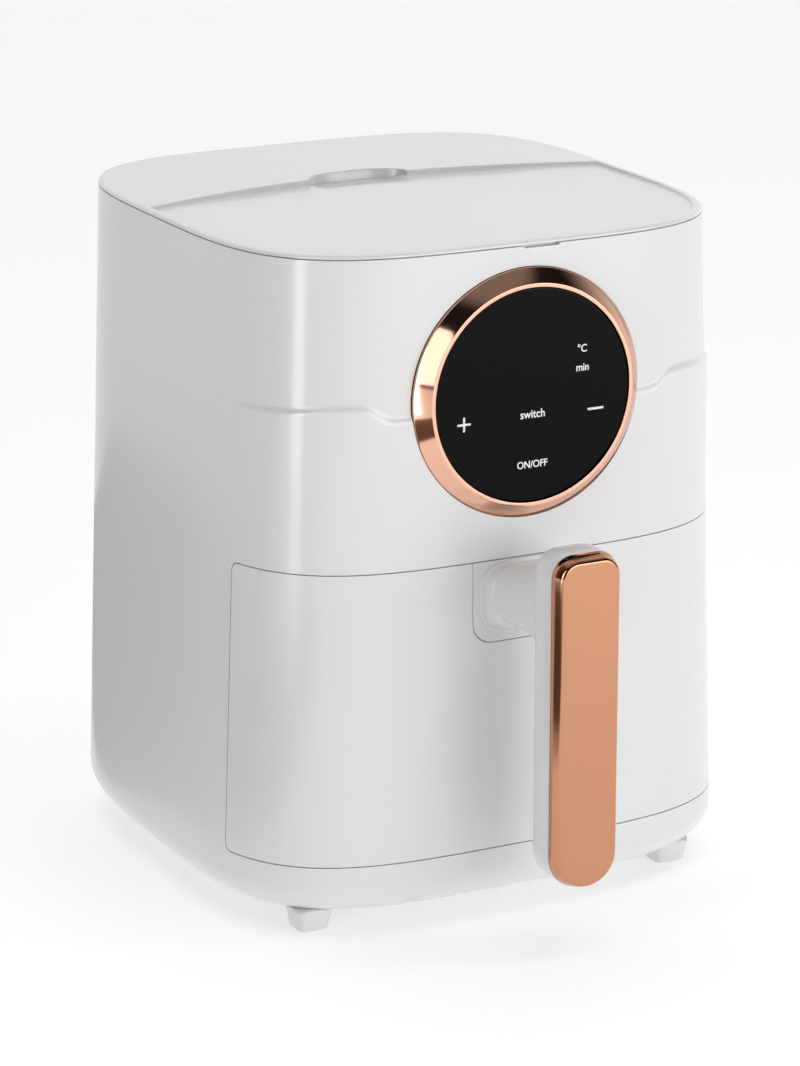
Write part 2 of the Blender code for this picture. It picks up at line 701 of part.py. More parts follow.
def make_chamber(home):
    """Round steel shroud over the deck, with the guard, the reflector and the element inside it."""
    low = DECK_HIGH + FIT
    top = CHAMBER_TOP
    profile = [
        (low, CHAMBER_RADIUS - SHEET),
        (low, CHAMBER_RADIUS + 0.006),
        (low + SHEET, CHAMBER_RADIUS + 0.006),
        (low + SHEET, CHAMBER_RADIUS),
        (top - 0.006, CHAMBER_RADIUS),
        (top, CHAMBER_RADIUS - 0.006),
        (top, 0.007),
        (top - SHEET, 0.007),
        (top - SHEET, CHAMBER_RADIUS - 0.006 - SHEET),
        (top - 0.006, CHAMBER_RADIUS - SHEET),
    ]
    shroud = turned("heater_shroud", profile, sheet_steel(), home, "Z", chamber_place(), 32, loop=True)
    drill(shroud, "cut_terminal", terminal_places(), ELEMENT_TUBE + 0.0012, top - 0.01, top + 0.01, home)
    sensor = [sensor_place()]
    drill(shroud, "cut_sensor", sensor, 0.0028, top - 0.01, top + 0.01, home)

    height = REFLECTOR_HEIGHT
    rim = GUARD_RADIUS - 0.002
    profile = [
        (height - 0.005, rim),
        (height - 0.005, rim + SHEET * 0.8),
        (height, rim - 0.004),
        (height, 0.007),
        (height - SHEET * 0.8, 0.007),
        (height - SHEET * 0.8, rim - 0.005),
    ]
    reflector = turned("heat_reflector", profile, aluminium(), home, "Z", chamber_place(), 28, loop=True)
    span = (height - 0.01, height + 0.01)
    drill(reflector, "cut_reflector_terminal", terminal_places(), ELEMENT_TUBE + 0.0012, *span, home)
    drill(reflector, "cut_reflector_sensor", sensor, 0.0028, *span, home)

    profile = [(GUARD_HEIGHT, GUARD_RADIUS), (GUARD_HEIGHT + SHEET, GUARD_RADIUS)]
    guard = turned("heater_guard", profile, sheet_steel(), home, "Z", chamber_place(), 36)
    for spoke in range(16):
        angle = spoke / 16 * 2 * math.pi
        along = np.array([math.cos(angle), math.sin(angle)])
        aside = np.array([-along[1], along[0]])
        slot = [(0.022, 0.0020), (0.082, 0.0125), (0.086, 0.0), (0.082, -0.0125), (0.022, -0.0020)]
        flat = np.array([reach * along + width * aside for reach, width in slot[::-1]])
        flat = flat + np.array([0.0, PAN_CENTRE_Y])
        rings = [level(flat, GUARD_HEIGHT - 0.01), level(flat, GUARD_HEIGHT + 0.01)]
        boolean(guard, loft(f"cut_guard_{spoke}", rings, None, home))
    make_element(home)


def make_element(home):
    """Tubular heater: two flat turns, its ends turned up through the shroud."""
    path = level(element_path(), ELEMENT_HEIGHT)
    start, end = (
        [(x, y, ELEMENT_HEIGHT + 0.006), (x, y, CHAMBER_TOP + 0.012)] for x, y, _ in terminal_places()
    )
    whole = np.vstack([start[::-1], path, end])
    return pipe("heating_element", whole, ELEMENT_TUBE, sheet_steel(), home)


def pipe(name, path, radius, skin, parent, sides=7):
    """A round tube along a path; its rings keep their turn by sliding one frame along the path."""
    along = np.gradient(path, axis=0)
    along /= np.linalg.norm(along, axis=1)[:, None]
    aside = np.cross(along[0], [0.0, 1.0, 0.0])
    rings = []
    for point, forward in zip(path, along):
        aside = aside - forward * (aside @ forward)
        aside /= np.linalg.norm(aside)
        other = np.cross(forward, aside)
        turn = circle(radius, sides)
        rings.append(point + turn[:, :1] * aside + turn[:, 1:] * other)
    return loft(name, rings, skin, parent)


def paddle_outline(blades, tip, root, thick, sweep):
    """Plan of a wheel with thin blades, swept back by sweep radians at their tips."""
    points = []
    for blade in range(blades):
        base = 2 * math.pi * blade / blades
        for reach, side in ((root, -1), (tip, -1), (tip, 1), (root, 1)):
            turn = base + sweep * (reach - root) / (tip - root)
            centre = np.array([math.cos(turn), math.sin(turn)])
            points.append(reach * centre + side * thick / 2 * np.array([-centre[1], centre[0]]))
    return np.array(points)


def make_fans(home, spin):
    """Fan motor with its bushes and bracket, and what its shaft turns: impeller, nut and cooling fan."""
    bracket_high = MOTOR_LOW - FIT
    bracket_low = bracket_high - 0.0015
    foot = CHAMBER_TOP + FIT
    outline = np.array([
        (-0.050, foot), (-0.034, foot), (-0.034, bracket_low), (0.034, bracket_low), (0.034, foot),
        (0.050, foot), (0.050, foot + 0.0015), (0.0355, foot + 0.0015), (0.0355, bracket_high),
        (-0.0355, bracket_high), (-0.0355, foot + 0.0015), (-0.050, foot + 0.0015),
    ])
    y = (PAN_CENTRE_Y - 0.016, PAN_CENTRE_Y + 0.016)
    bracket = loft("motor_bracket", [upright(outline, y[0]), upright(outline, y[1])], sheet_steel(), home)
    span = (bracket_low - 0.005, bracket_high + 0.005)
    drill(bracket, "cut_bracket", [chamber_place()], 0.0075, *span, home, "Z", 20)

    low, high = MOTOR_LOW, MOTOR_LOW + MOTOR_TALL
    seat = 0.0060
    profile = [
        (low, seat), (low, MOTOR_RADIUS), (high, MOTOR_RADIUS), (high, seat), (high - 0.004, seat),
        (high - 0.004, SHAFT_RADIUS + FIT), (low + 0.004, SHAFT_RADIUS + FIT), (low + 0.004, seat),
    ]
    turned("fan_motor", profile, sheet_steel(), home, "Z", chamber_place(), 28, loop=True)
    for name, start in (("motor_bush_lower", low), ("motor_bush_upper", high - 0.004 + FIT)):
        bush = [
            (start, SHAFT_RADIUS + FIT), (start, seat - FIT),
            (start + 0.0037, seat - FIT), (start + 0.0037, SHAFT_RADIUS + FIT),
        ]
        brass = material("sintered_brass", (0.62, 0.45, 0.20), 0.45, 1.0)
        turned(name, bush, brass, home, "Z", chamber_place(), 16, loop=True)

    hub = 0.0085
    fan_low = high + 0.004
    nut_low = IMPELLER_LOW - 0.0045
    top = fan_low + FAN_TALL + 0.004
    turned("motor_shaft", [(nut_low - 0.002, SHAFT_RADIUS), (top, SHAFT_RADIUS)], sheet_steel(), spin, count=16)
    wheel(spin, "impeller", IMPELLER_LOW, 0.0100, IMPELLER_RADIUS, hub, 8, 0.25, aluminium())
    wheel(spin, "cooling_fan", fan_low, FAN_TALL, FAN_RADIUS, hub, 7, 0.5, grey_plastic())
    nut = turned("impeller_nut", [(nut_low, 0.0052), (nut_low + 0.004, 0.0052)], screw_steel(), spin, count=6)
    drill(nut, "cut_nut", [(0, 0, 0)], SHAFT_RADIUS + FIT, nut_low - 0.01, nut_low + 0.01, spin, count=16)


def wheel(spin, name, low, tall, tip, hub, blades, sweep, skin):
    """A bladed wheel with a bore for the shaft."""
    plan = paddle_outline(blades, tip, hub, 0.0016, sweep)
    made = loft(name, [level(plan, low), level(plan, low + tall)], skin, spin)
    drill(made, f"cut_{name}_bore", [(0, 0, 0)], SHAFT_RADIUS + FIT, low - 0.01, low + tall + 0.01, spin, count=16)
    return made


def sensor_place():
    return (0.044, PAN_CENTRE_Y + 0.038, 0.0)


def make_sensors(home):
    """Temperature probe through the shroud's top, and the thermal fuse clipped beside it."""
    place = sensor_place()
    probe = [
        (REFLECTOR_HEIGHT - 0.010, 0.0014), (REFLECTOR_HEIGHT - 0.008, 0.0022),
        (CHAMBER_TOP + FIT, 0.0022), (CHAMBER_TOP + FIT, 0.0050), (CHAMBER_TOP + 0.004, 0.0050),
        (CHAMBER_TOP + 0.004, 0.0030), (CHAMBER_TOP + 0.009, 0.0030),
    ]
    turned("temperature_sensor", probe, screw_steel(), home, "Z", place, 12)
    low = (-0.045, PAN_CENTRE_Y + 0.028, CHAMBER_TOP + FIT)
    fuse = rounded_rectangle((low[1], low[2]), (low[1] + 0.006, low[2] + 0.006), [0.002] * 4, 2)
    rings = [sideways(fuse, low[0]), sideways(fuse, low[0] + 0.018)]
    loft("thermal_fuse", rings, silicone(), home)


def make_power_board(home):
    """Mains board standing behind the motor on its own plastic carrier."""
    y = 0.078
    low, high = CHAMBER_TOP + 0.009, CHAMBER_TOP + 0.064
    board = block("power_board", (-0.052, y, low), (0.052, y + BOARD_THICK, high), circuit_board(), home)
    face = y + 0.0008
    parts = (
        ((-0.046, low + 0.006), (-0.026, low + 0.022), 0.015),
        ((-0.018, low + 0.010), (0.004, low + 0.034), 0.018),
        ((0.014, low + 0.006), (0.024, low + 0.040), 0.012),
        ((0.032, low + 0.008), (0.046, low + 0.020), 0.011),
    )
    for number, (near, far, tall) in enumerate(parts):
        corner = (near[0], y - tall, near[1])
        boolean(board, block(f"join_part_{number}", corner, (far[0], face, far[1]), None, home), "UNION")
    back = y + BOARD_THICK + FIT
    outline = np.array([
        (back, CHAMBER_TOP + FIT), (back + 0.014, CHAMBER_TOP + FIT), (back + 0.014, CHAMBER_TOP + 0.002),
        (back + 0.002, CHAMBER_TOP + 0.002), (back + 0.002, high - 0.004), (back, high - 0.004),
    ])
    turn = [sideways(outline, -0.030), sideways(outline, 0.030)]
    loft("board_carrier", turn, grey_plastic(), home)


def switch_place():
    """Where the interlock's plunger stands: over the drawer front's top lip, right of the display."""
    x = 0.066
    return (x, -surface_y(x, DRAWER_HIGH, DRAWER_LIP * 0.62), 0.0)


def make_interlock(home, plunger_home):
    """Switch on the deck whose plunger reaches down to the drawer front's top lip."""
    x, y, _ = switch_place()
    low = DECK_HIGH + FIT
    front = -surface_y(x + 0.007, low + 0.010, WALL) + FIT
    box = block("interlock_switch", (x - 0.007, front, low), (x + 0.007, front + 0.0095, low + 0.010),
                grey_plastic(), home)
    drill(box, "cut_switch", [(x, y, 0)], 0.0018, low - 0.005, low + 0.0060, home)
    start = DRAWER_HIGH - DRAWER_GAP + FIT
    profile = [(start, 0.0009), (start + 0.0006, 0.0015), (low + 0.0035, 0.0015)]
    turned("interlock_plunger", profile, screw_steel(), plunger_home, "Z", (0, 0, 0), 12)


# ---------------------------------------------------------------- drawer


def make_drawer_front(slide):
    """Curved front panel, lipped all round, with a hole where the handle's foot sits."""
    low, high = DRAWER_LOW, DRAWER_HIGH
    stations = [
        (low, DRAWER_LIP), (low, 0.0), (high, 0.0), (high, DRAWER_LIP), (high - WALL - DRAWER_GAP, DRAWER_LIP),
        (high - WALL - DRAWER_GAP, WALL), (low + WALL + DRAWER_GAP, WALL), (low + WALL + DRAWER_GAP, DRAWER_LIP),
    ]
    panel = loft("drawer_front", [body_ring(*s) for s in stations], white_shell(), slide, loop=True)
    outline = drawer_outline(DRAWER_GAP)
    tool = loft("keep_drawer_front", [sideways(outline, -WIDTH), sideways(outline, WIDTH)], None, slide)
    boolean(panel, tool, "INTERSECT")
    boolean(panel, patch_prism("cut_patch", FIT, slide))
    return panel


def patch_prism(name, grow, slide):
    """The handle's foot as seen from the front, from its lower edge to above the drawer's top."""
    low = (-PATCH_HALF - grow, PATCH_LOW - grow)
    high = (PATCH_HALF + grow, DRAWER_HIGH - DRAWER_GAP + 4 * grow)
    radii = (PATCH_CORNER + grow, PATCH_CORNER + grow, 0, 0)
    outline = rounded_rectangle(low, high, radii, 5)
    front = front_of(DRAWER_LOW) - 0.01
    back = front_of(DRAWER_HIGH, WALL) + FIT
    return loft(name, [upright(outline, front), upright(outline, back)], None, slide)


def neck_ring(y, low, high, half, corner):
    outline = rounded_rectangle((-half, low), (half, high), [corner] * 4, 4)
    return upright(outline, y)


def grip_outline(inset=0.0):
    half = HANDLE_WIDTH / 2 - inset
    low, high = HANDLE_LOW + inset, HANDLE_HIGH - inset
    top = HANDLE_CORNER - inset
    return rounded_rectangle((-half, low), (half, high), (half * 0.999, half * 0.999, top, top), 7)


def make_handle(slide):
    """One white moulding, foot, neck and grip, with a plated trim in front of the grip."""
    face = front_of(PATCH_LOW)
    trim_front = face - HANDLE_REACH
    grip_front = trim_front + TRIM_THICK + FIT
    grip_back = trim_front + TRIM_THICK + GRIP_THICK
    edge = 0.002
    rings = [
        upright(grip_outline(), grip_front),
        upright(grip_outline(), grip_back - edge),
        upright(grip_outline(edge), grip_back),
    ]
    grip = loft("handle_grip", rings, white_shell(), slide)

    neck = [
        neck_ring(grip_back - 0.004, 0.128, 0.1830, NECK_HALF * 0.86, 0.006),
        neck_ring(grip_back + 0.002, 0.1335, 0.1825, NECK_HALF * 0.88, 0.006),
        neck_ring(grip_back + 0.009, 0.1395, 0.1800, NECK_HALF * 0.92, 0.007),
        neck_ring(grip_back + 0.020, 0.1425, 0.1765, NECK_HALF * 0.98, 0.007),
        neck_ring(face - 0.006, 0.1430, 0.1735, NECK_HALF, 0.007),
        neck_ring(face - 0.002, 0.1420, 0.1725, NECK_HALF * 1.08, 0.008),
        neck_ring(face + WALL - FIT, 0.1405, 0.1715, NECK_HALF * 1.20, 0.009),
    ]
    boolean(grip, loft("join_neck", neck, None, slide), "UNION")
    height = (PATCH_LOW - 0.01, DRAWER_HIGH + 0.01)
    rings = [body_ring(height[0]), body_ring(height[1]), body_ring(height[1], WALL), body_ring(height[0], WALL)]
    patch = loft("join_patch", rings, None, slide, loop=True)
    boolean(patch, patch_prism("keep_patch", 0.0, slide), "INTERSECT")
    boolean(grip, patch, "UNION")
    holes = [(x, 0.0, z) for x, _, z in handle_screw_places()]
    drill(grip, "cut_handle_bore", holes, SCREW_HOLE, face - 0.012, face + 0.01, slide, "Y")

    rings = [
        upright(grip_outline(TRIM_BEVEL), trim_front),
        upright(grip_outline(TRIM_BEVEL * 0.3), trim_front + TRIM_BEVEL * 0.35),
        upright(grip_outline(), trim_front + TRIM_BEVEL),
        upright(grip_outline(), trim_front + TRIM_THICK),
    ]
    loft("handle_trim", rings, copper_trim(), slide)


def bracket_front():
    """Y of the bracket's front leg, clear of the handle's foot, whose flat facets lie a little behind the curve."""
    return front_of(BRACKET_HIGH, WALL) + 2 * FIT


def handle_screw_places():
    """Under the heads of the two screws, on the inner face of the handle bracket."""
    inner = bracket_front() + BRACKET_SHEET
    middle = (BRACKET_LOW + BRACKET_HIGH) / 2
    return [(side * 0.009, inner + FIT, middle) for side in (-1, 1)]


def pan_front(height, inner=0.0):
    """Y of the pan's front wall on its centre line."""
    share = (PAN_RIM - height) / (PAN_RIM - PAN_LOW)
    return PAN_CENTRE_Y - (PAN_HALF_Y - PAN_FLANGE - PAN_TAPER * share - inner)


def make_handle_bracket(slide):
    """Folded steel box that clamps the handle's foot and carries the pan."""
    front = bracket_front()
    back = pan_front(BRACKET_HIGH) - FIT
    outer = np.array([
        (-BRACKET_HALF, front), (BRACKET_HALF, front), (BRACKET_HALF, back), (-BRACKET_HALF, back),
    ])
    shift = BRACKET_SHEET * np.array([(1, 1), (-1, 1), (-1, -1), (1, -1)])
    inner = outer + shift
    low, high = BRACKET_LOW, BRACKET_HIGH
    rings = [level(outer, low), level(outer, high), level(inner, high), level(inner, low)]
    made = loft("handle_bracket", rings, sheet_steel(), slide, loop=True)
    middle = (low + high) / 2
    holes = [(side * 0.009, 0.0, middle) for side in (-1, 1)]
    drill(made, "cut_bracket_front", holes, SCREW_HOLE, front - 0.005, front + 0.0040, slide, "Y")
    rivets = [(side * 0.016, 0.0, middle) for side in (-1, 1)]
    drill(made, "cut_bracket_back", rivets, SCREW_HOLE, back - 0.0040, back + 0.005, slide, "Y")
    for number, place in enumerate(handle_screw_places()):
        screw(f"handle_screw_{number + 1}", place, 0.011, slide, "Y", -1.0)
    inside = pan_front(middle, PAN_SHEET) + FIT
    for number, (x, _, z) in enumerate(rivets):
        screw(f"pan_rivet_{number + 1}", (x, inside + 0.0003, z), 0.0060, slide, "Y", -1.0, 0.0012)


def pan_ring(height, inset, taper=True):
    """The pan's plan at a height: taper draws the wall in towards the floor."""
    share = (PAN_RIM - height) / (PAN_RIM - PAN_LOW) if taper else 0.0
    total = inset + PAN_TAPER * share
    plan = superellipse(PAN_HALF_X - total, PAN_HALF_Y - total, 52)
    return level(plan, height) + np.array([0.0, PAN_CENTRE_Y, 0.0])


def make_pan(slide):
    """Coated steel pan: rounded floor edge, tapered wall and a turned-out rim."""
    wall = PAN_FLANGE
    inside = wall + PAN_SHEET
    floor = PAN_LOW + PAN_SHEET
    rings = [
        pan_ring(PAN_LOW, wall + 0.012),
        pan_ring(PAN_LOW + 0.0035, wall + 0.0035),
        pan_ring(PAN_LOW + 0.012, wall),
        pan_ring(PAN_RIM - PAN_SHEET, wall),
        pan_ring(PAN_RIM - PAN_SHEET, 0.0, False),
        pan_ring(PAN_RIM, 0.0, False),
        pan_ring(PAN_RIM, inside),
        pan_ring(PAN_LOW + 0.012, inside),
        pan_ring(PAN_LOW + 0.0043, inside + 0.0035),
        pan_ring(floor, inside + 0.012),
    ]
    pan = loft("frying_pan", rings, pan_coating(), slide)
    middle = (BRACKET_LOW + BRACKET_HIGH) / 2
    rivets = [(side * 0.016, 0.0, middle) for side in (-1, 1)]
    y = pan_front(middle)
    drill(pan, "cut_pan_rivet", rivets, SCREW_HOLE, y - 0.004, y + 0.006, slide, "Y")
    return pan


def bumper_places():
    half_x = PAN_HALF_X - PAN_FLANGE - PAN_TAPER - PLATE_GAP
    half_y = PAN_HALF_Y - PAN_FLANGE - PAN_TAPER - PLATE_GAP
    x, y = half_x * 0.70, half_y * 0.70
    return [(sx * x, PAN_CENTRE_Y + sy * y) for sx in (-1, 1) for sy in (-1, 1)]


def make_crisper(plate_home):
    """Slotted plate that holds the food off the pan's floor, on four silicone bumpers."""
    inset = PAN_FLANGE + PAN_SHEET + PLATE_GAP
    low, high = PLATE_LOW, PLATE_LOW + PLATE_SHEET
    plate = loft("crisper_plate", [pan_ring(low, inset), pan_ring(high, inset)], pan_coating(), plate_home)
    for row in range(-3, 4):
        for column in (-1, 0, 1):
            if row == 0 and column == 0:
                continue
            x, y = row * 0.0210, PAN_CENTRE_Y + column * 0.052
            reach = 0.019
            flat = rounded_rectangle((x - 0.003, y - reach), (x + 0.003, y + reach), [0.0022] * 4, 1)
            rings = [level(flat, low - 0.01), level(flat, high + 0.01)]
            boolean(plate, loft(f"cut_slot_{row}_{column}", rings, None, plate_home))
    places = bumper_places()
    holes = [(x, y, 0.0) for x, y in places]
    drill(plate, "cut_bumper", holes, 0.0026, low - 0.01, high + 0.01, plate_home)
    floor = PAN_LOW + PAN_SHEET + FIT
    for number, (x, y) in enumerate(places):
        profile = [
            (floor, BUMPER_RADIUS * 0.8), (low - FIT, BUMPER_RADIUS), (low - FIT, 0.0022),
            (high + FIT, 0.0022), (high + FIT, 0.0036), (high + 0.0016, 0.0024),
        ]
        turned(f"crisper_bumper_{number + 1}", profile, silicone(), plate_home, "Z", (x, y, 0.0), 10)


def main():
    for old in list(bpy.data.objects):
        bpy.data.objects.remove(old)
    home = frame("body_frame", (0.0, BODY_CENTRE_Y, 0.0))
    slide = frame("drawer_slide", (0.0, 0.0, 0.0), home)
    plate_home = frame("crisper_lift", (0.0, 0.0, 0.0), slide)
    spin = frame("fan_spin", chamber_place(), home)
    x, y, _ = switch_place()
    plunger_home = frame("plunger_slide", (x, y, 0.0), home)

    make_housing(home)
    make_top_cover(home)
    make_rear_cover(home)
    for number, (x, y, z) in enumerate(rear_screw_places()):
        screw(f"rear_screw_{number + 1}", (x, y + 0.0012, z), 0.010, home, "Y", -1.0)
    make_cord_gland(home)
    make_base(home)
    make_chamber_frame(home)
    make_liner(home)
    make_display(home)
    make_chamber(home)
    make_fans(home, spin)
    make_sensors(home)
    make_power_board(home)
    make_interlock(home, plunger_home)
    make_drawer_front(slide)
    make_handle(slide)
    make_handle_bracket(slide)
    make_pan(slide)
    make_crisper(plate_home)


main()
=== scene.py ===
# %% [markdown]
# # A countertop air fryer, built round a fixed CAD frame
#
# The object is a white air fryer: a squarish oval body that widens a little towards its foot, a lid with a
# recessed front area, a round touch display in a copper-coloured ring, and a drawer with an upright handle.
# The CAD frame gives every part its place and its motion. This lesson gives each visible part the finer
# surface that the CAD leaves out: rounded edges, fillets, seams, louvres and real finishes.
#
# Every new surface is a grid of points worked out in numpy, either as a function of two parameters or as a
# profile carried along a path, so that each edge of the real part lies on a line of the grid.

# %% Frame, and the sizes read from it
import json
import math

import bpy
import numpy as np
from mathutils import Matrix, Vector


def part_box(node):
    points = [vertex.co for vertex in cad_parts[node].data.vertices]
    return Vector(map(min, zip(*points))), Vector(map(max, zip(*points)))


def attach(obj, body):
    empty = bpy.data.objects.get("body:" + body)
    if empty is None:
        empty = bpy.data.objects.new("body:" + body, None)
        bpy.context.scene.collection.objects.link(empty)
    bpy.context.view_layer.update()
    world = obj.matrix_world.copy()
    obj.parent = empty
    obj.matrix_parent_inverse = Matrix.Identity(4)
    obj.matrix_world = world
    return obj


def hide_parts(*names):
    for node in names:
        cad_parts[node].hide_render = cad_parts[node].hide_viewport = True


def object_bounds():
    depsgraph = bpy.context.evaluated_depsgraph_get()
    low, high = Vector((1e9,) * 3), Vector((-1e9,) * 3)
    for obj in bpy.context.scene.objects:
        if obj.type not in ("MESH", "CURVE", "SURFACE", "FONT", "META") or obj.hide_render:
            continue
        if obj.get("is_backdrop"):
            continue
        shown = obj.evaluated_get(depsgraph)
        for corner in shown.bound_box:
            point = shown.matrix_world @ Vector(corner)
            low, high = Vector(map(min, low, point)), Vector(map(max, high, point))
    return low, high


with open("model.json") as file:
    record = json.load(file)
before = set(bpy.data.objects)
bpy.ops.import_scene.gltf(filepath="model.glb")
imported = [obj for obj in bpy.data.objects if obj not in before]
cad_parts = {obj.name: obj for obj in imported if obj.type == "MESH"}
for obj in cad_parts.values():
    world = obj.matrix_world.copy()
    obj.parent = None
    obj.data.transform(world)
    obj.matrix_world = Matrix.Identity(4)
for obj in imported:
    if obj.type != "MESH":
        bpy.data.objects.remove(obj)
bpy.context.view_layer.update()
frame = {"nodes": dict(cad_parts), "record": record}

SQUARENESS = 3.83  # exponent of the plan outline
FLARE = (0.0365, 0.0136)  # outward growth of the half sizes for each metre down
BOTTOM_ROUND = 0.019
FLANGE_INSET = 0.042  # how far the bottom is turned in
WALL = 0.0025
FIT = 0.0003  # clearance between parts that are let into each other
SEAM = 0.0006
DRAWER_GAP = 0.0005  # as seen; the frame's gap of 0.8 mm is shared out between the two edges
EDGE_GROWTH = 0.00015
DRAWER_CORNER = 0.0045
PATCH_CORNER = 0.0098  # lower corners of the handle's foot
REAR_FLANGE = 0.009
REAR_CORNER = 0.012
DISPLAY_MARGIN = 0.0088  # from the ring to the square of grid lines round it

housing_low, housing_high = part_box("main_housing")
cover_low, cover_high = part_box("top_cover")
panel_low, panel_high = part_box("drawer_front")
trim_low, trim_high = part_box("handle_trim")
ring_low, ring_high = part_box("display_ring")
glass_low, glass_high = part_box("display_glass")
rear_low, rear_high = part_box("rear_cover")
pan_low, pan_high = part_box("frying_pan")

centre_y = (housing_low.y + housing_high.y) / 2
floor_z, seam_z, top_z = housing_low.z, housing_high.z, cover_high.z
side_z = floor_z + BOTTOM_ROUND
half_seam = (
    housing_high.x - FLARE[0] * (seam_z - side_z),
    housing_high.y - centre_y - FLARE[1] * (seam_z - side_z),
)
ring_z = (ring_low.z + ring_high.z) / 2
ring_radius = ring_high.x
glass_radius = glass_high.x + FIT
panel_low.z -= EDGE_GROWTH
panel_high.z += EDGE_GROWTH
panel_high.y += EDGE_GROWTH
open_low, open_high = panel_low.z - DRAWER_GAP, panel_high.z + DRAWER_GAP
open_back = panel_high.y + DRAWER_GAP - centre_y
rear_half = rear_high.x - REAR_FLANGE
rear_z = (rear_low.z + REAR_FLANGE, rear_high.z - REAR_FLANGE)
print("half sizes at the seam", [round(v, 4) for v in half_seam], "centre", round(centre_y, 4))
print("opening", round(open_low, 4), round(open_high, 4), "back to", round(open_back, 4))

# %% [markdown]
# ## Outlines
#
# The body's plan at a height z is |x/a|^n + |y/b|^n = 1, with a and b growing downwards. To put grid lines
# exactly on the edges of the openings, each of the four faces is described by its own straight coordinate:
# x across the front and back, y along the sides. The faces meet at the diagonal, where |x/a| = |y/b|.
#
# An angle would be a simpler coordinate, but its lines would cross the straight edges of the drawer's opening
# at a slant, and a cut there would leave a ragged edge that a bevel can't round.


# %% Half sizes and depth
def half_sizes(z, inset=0.0):
    """a = a0 + f (z0 - z) - inset, and b the same way, z0 being the seam's height."""
    return half_seam[0] + FLARE[0] * (seam_z - z) - inset, half_seam[1] + FLARE[1] * (seam_z - z) - inset


def smooth(t):
    """3 t^2 - 2 t^3 on 0..1, flat outside it."""
    t = np.clip(t, 0.0, 1.0)
    return t * t * (3 - 2 * t)


def depth_at(x, z, inset=0.0):
    """b (1 - |x/a|^n)^(1/n): how far the outline lies from the centre line beside x."""
    a, b = half_sizes(z, inset)
    return b * (1 - np.clip(np.abs(x / a), 0, 1) ** SQUARENESS) ** (1 / SQUARENESS)


print("front and back lie", round(float(depth_at(0.0, seam_z)), 4), "from the middle at the seam")

# %% Shoulder line
SWELL = 0.0013  # how far the front stands out below its shoulder line
SHOULDER_Z = 0.2528
RING_DIP = 0.0065  # how far the line bends down near the ring
CORNER_DIP = 0.0026  # and towards the corners


def bulge(x, y, z):
    """SWELL below the line, fading out downwards and along the sides.

    line = z0 - the two dips, each one a smooth step of |x|; the shoulder itself is a smooth step 2.6 mm tall.
    """
    by_ring = smooth((0.080 - np.abs(x)) / 0.014)
    by_corner = smooth((np.abs(x) - 0.088) / 0.03)
    line = SHOULDER_Z - RING_DIP * by_ring - CORNER_DIP * by_corner
    fade = smooth((z - 0.178) / 0.075) * (1 - smooth((y + 0.096) / 0.022))
    return SWELL * smooth((line - z) / 0.0026) * fade


print("the front swells by", round(float(bulge(0.0, -0.12, 0.23)) * 1000, 2), "mm below the display's middle")

# %% Points of the plan
DIAGONAL = 2 ** (-1 / SQUARENESS)
widest = half_sizes(side_z)


def plan_point(face, p, z, inset, edge):
    """(x, y) on one of the faces 0 front, 1 right, 2 back, 3 left.

    Inside |p| <= edge the coordinate is p itself at every height. Outside, it is stretched so that the last
    column stays on the diagonal. Where the bottom curves in, the whole row shrinks with the outline.
    """
    a, b = half_sizes(z)
    across = (face % 2) == 0
    half = np.where(across, a, b)
    corner = DIAGONAL * half
    widest_corner = DIAGONAL * np.where(across, widest[0], widest[1])
    stretched = edge + (np.abs(p) - edge) * (corner - edge) / (widest_corner - edge)
    q = np.sign(p) * np.where(np.abs(p) <= edge, np.abs(p), stretched) * (half - inset) / half
    a, b = a - inset, b - inset
    other = np.where(across, b, a) * (
        1 - np.clip(np.abs(q) / (half - inset), 0, 1) ** SQUARENESS
    ) ** (1 / SQUARENESS)
    sign = np.where((face == 0) | (face == 3), -1.0, 1.0)
    return np.where(across, q, sign * other), np.where(across, sign * other, q)


print("the faces meet at", [round(DIAGONAL * half, 4) for half in widest], "where the body is widest")


# %% Rounded corners of an opening
def corner_rise(t, radius, fade):
    """r - sqrt(r^2 - (r - t)^2) inside an opening's edge, fading out beside it: its rounded corner."""
    inside = radius - np.sqrt(np.clip(radius**2 - np.clip(radius - t, 0, radius) ** 2, 0, None))
    return np.where(t >= 0, inside, radius * smooth(1 + t / fade))


def corner_shift(t, z, low, high, radius, fade):
    """Moves the rows near an opening's low and high edge towards its middle by the corner's rise."""
    weight = 1 - 2 * (z - low) / (high - low)
    weight = np.where(z < low, np.clip(1 - (low - z) / fade[0], 0, 1), weight)
    weight = np.where(z > high, -np.clip(1 - (z - high) / fade[1], 0, 1), weight)
    return corner_rise(t, radius, fade[2]) * weight


def spaced(start, stop, step):
    """Evenly spaced numbers from start to stop, about step apart, the last one left out."""
    count = max(1, round(abs(stop - start) / step))
    return np.linspace(start, stop, count + 1)[:-1]


def joined(*parts):
    """Numbers and lists of numbers put end to end."""
    return np.concatenate([np.atleast_1d(part) for part in parts])


CORNER_STEPS = np.array([0.0, 0.03, 0.11, 0.24, 0.42, 0.64, 0.82, 1.0])
print("across a corner the rise is", np.round(corner_rise(CORNER_STEPS, 1.0, 1.0), 2), "of its radius")

# %% [markdown]
# ## Finishes
#
# The white mouldings are glossy plastic with a faint orange peel. The ring and the handle's trim are plated,
# with fine drawn lines. The glass is nearly black. Inside there are coated and bare metals, silicone and a
# circuit board.
#
# Each could be painted onto an unwrapped mesh, but that looks coarse close up. Here a finish is two noise
# textures in object coordinates, so that it stays with its piece at any pose: a broad one for slow changes of
# colour, and a fine one, stretched along the grain, for the bump.

# %% One finish
BROAD_SCALE = 9  # of the noise behind the slow changes


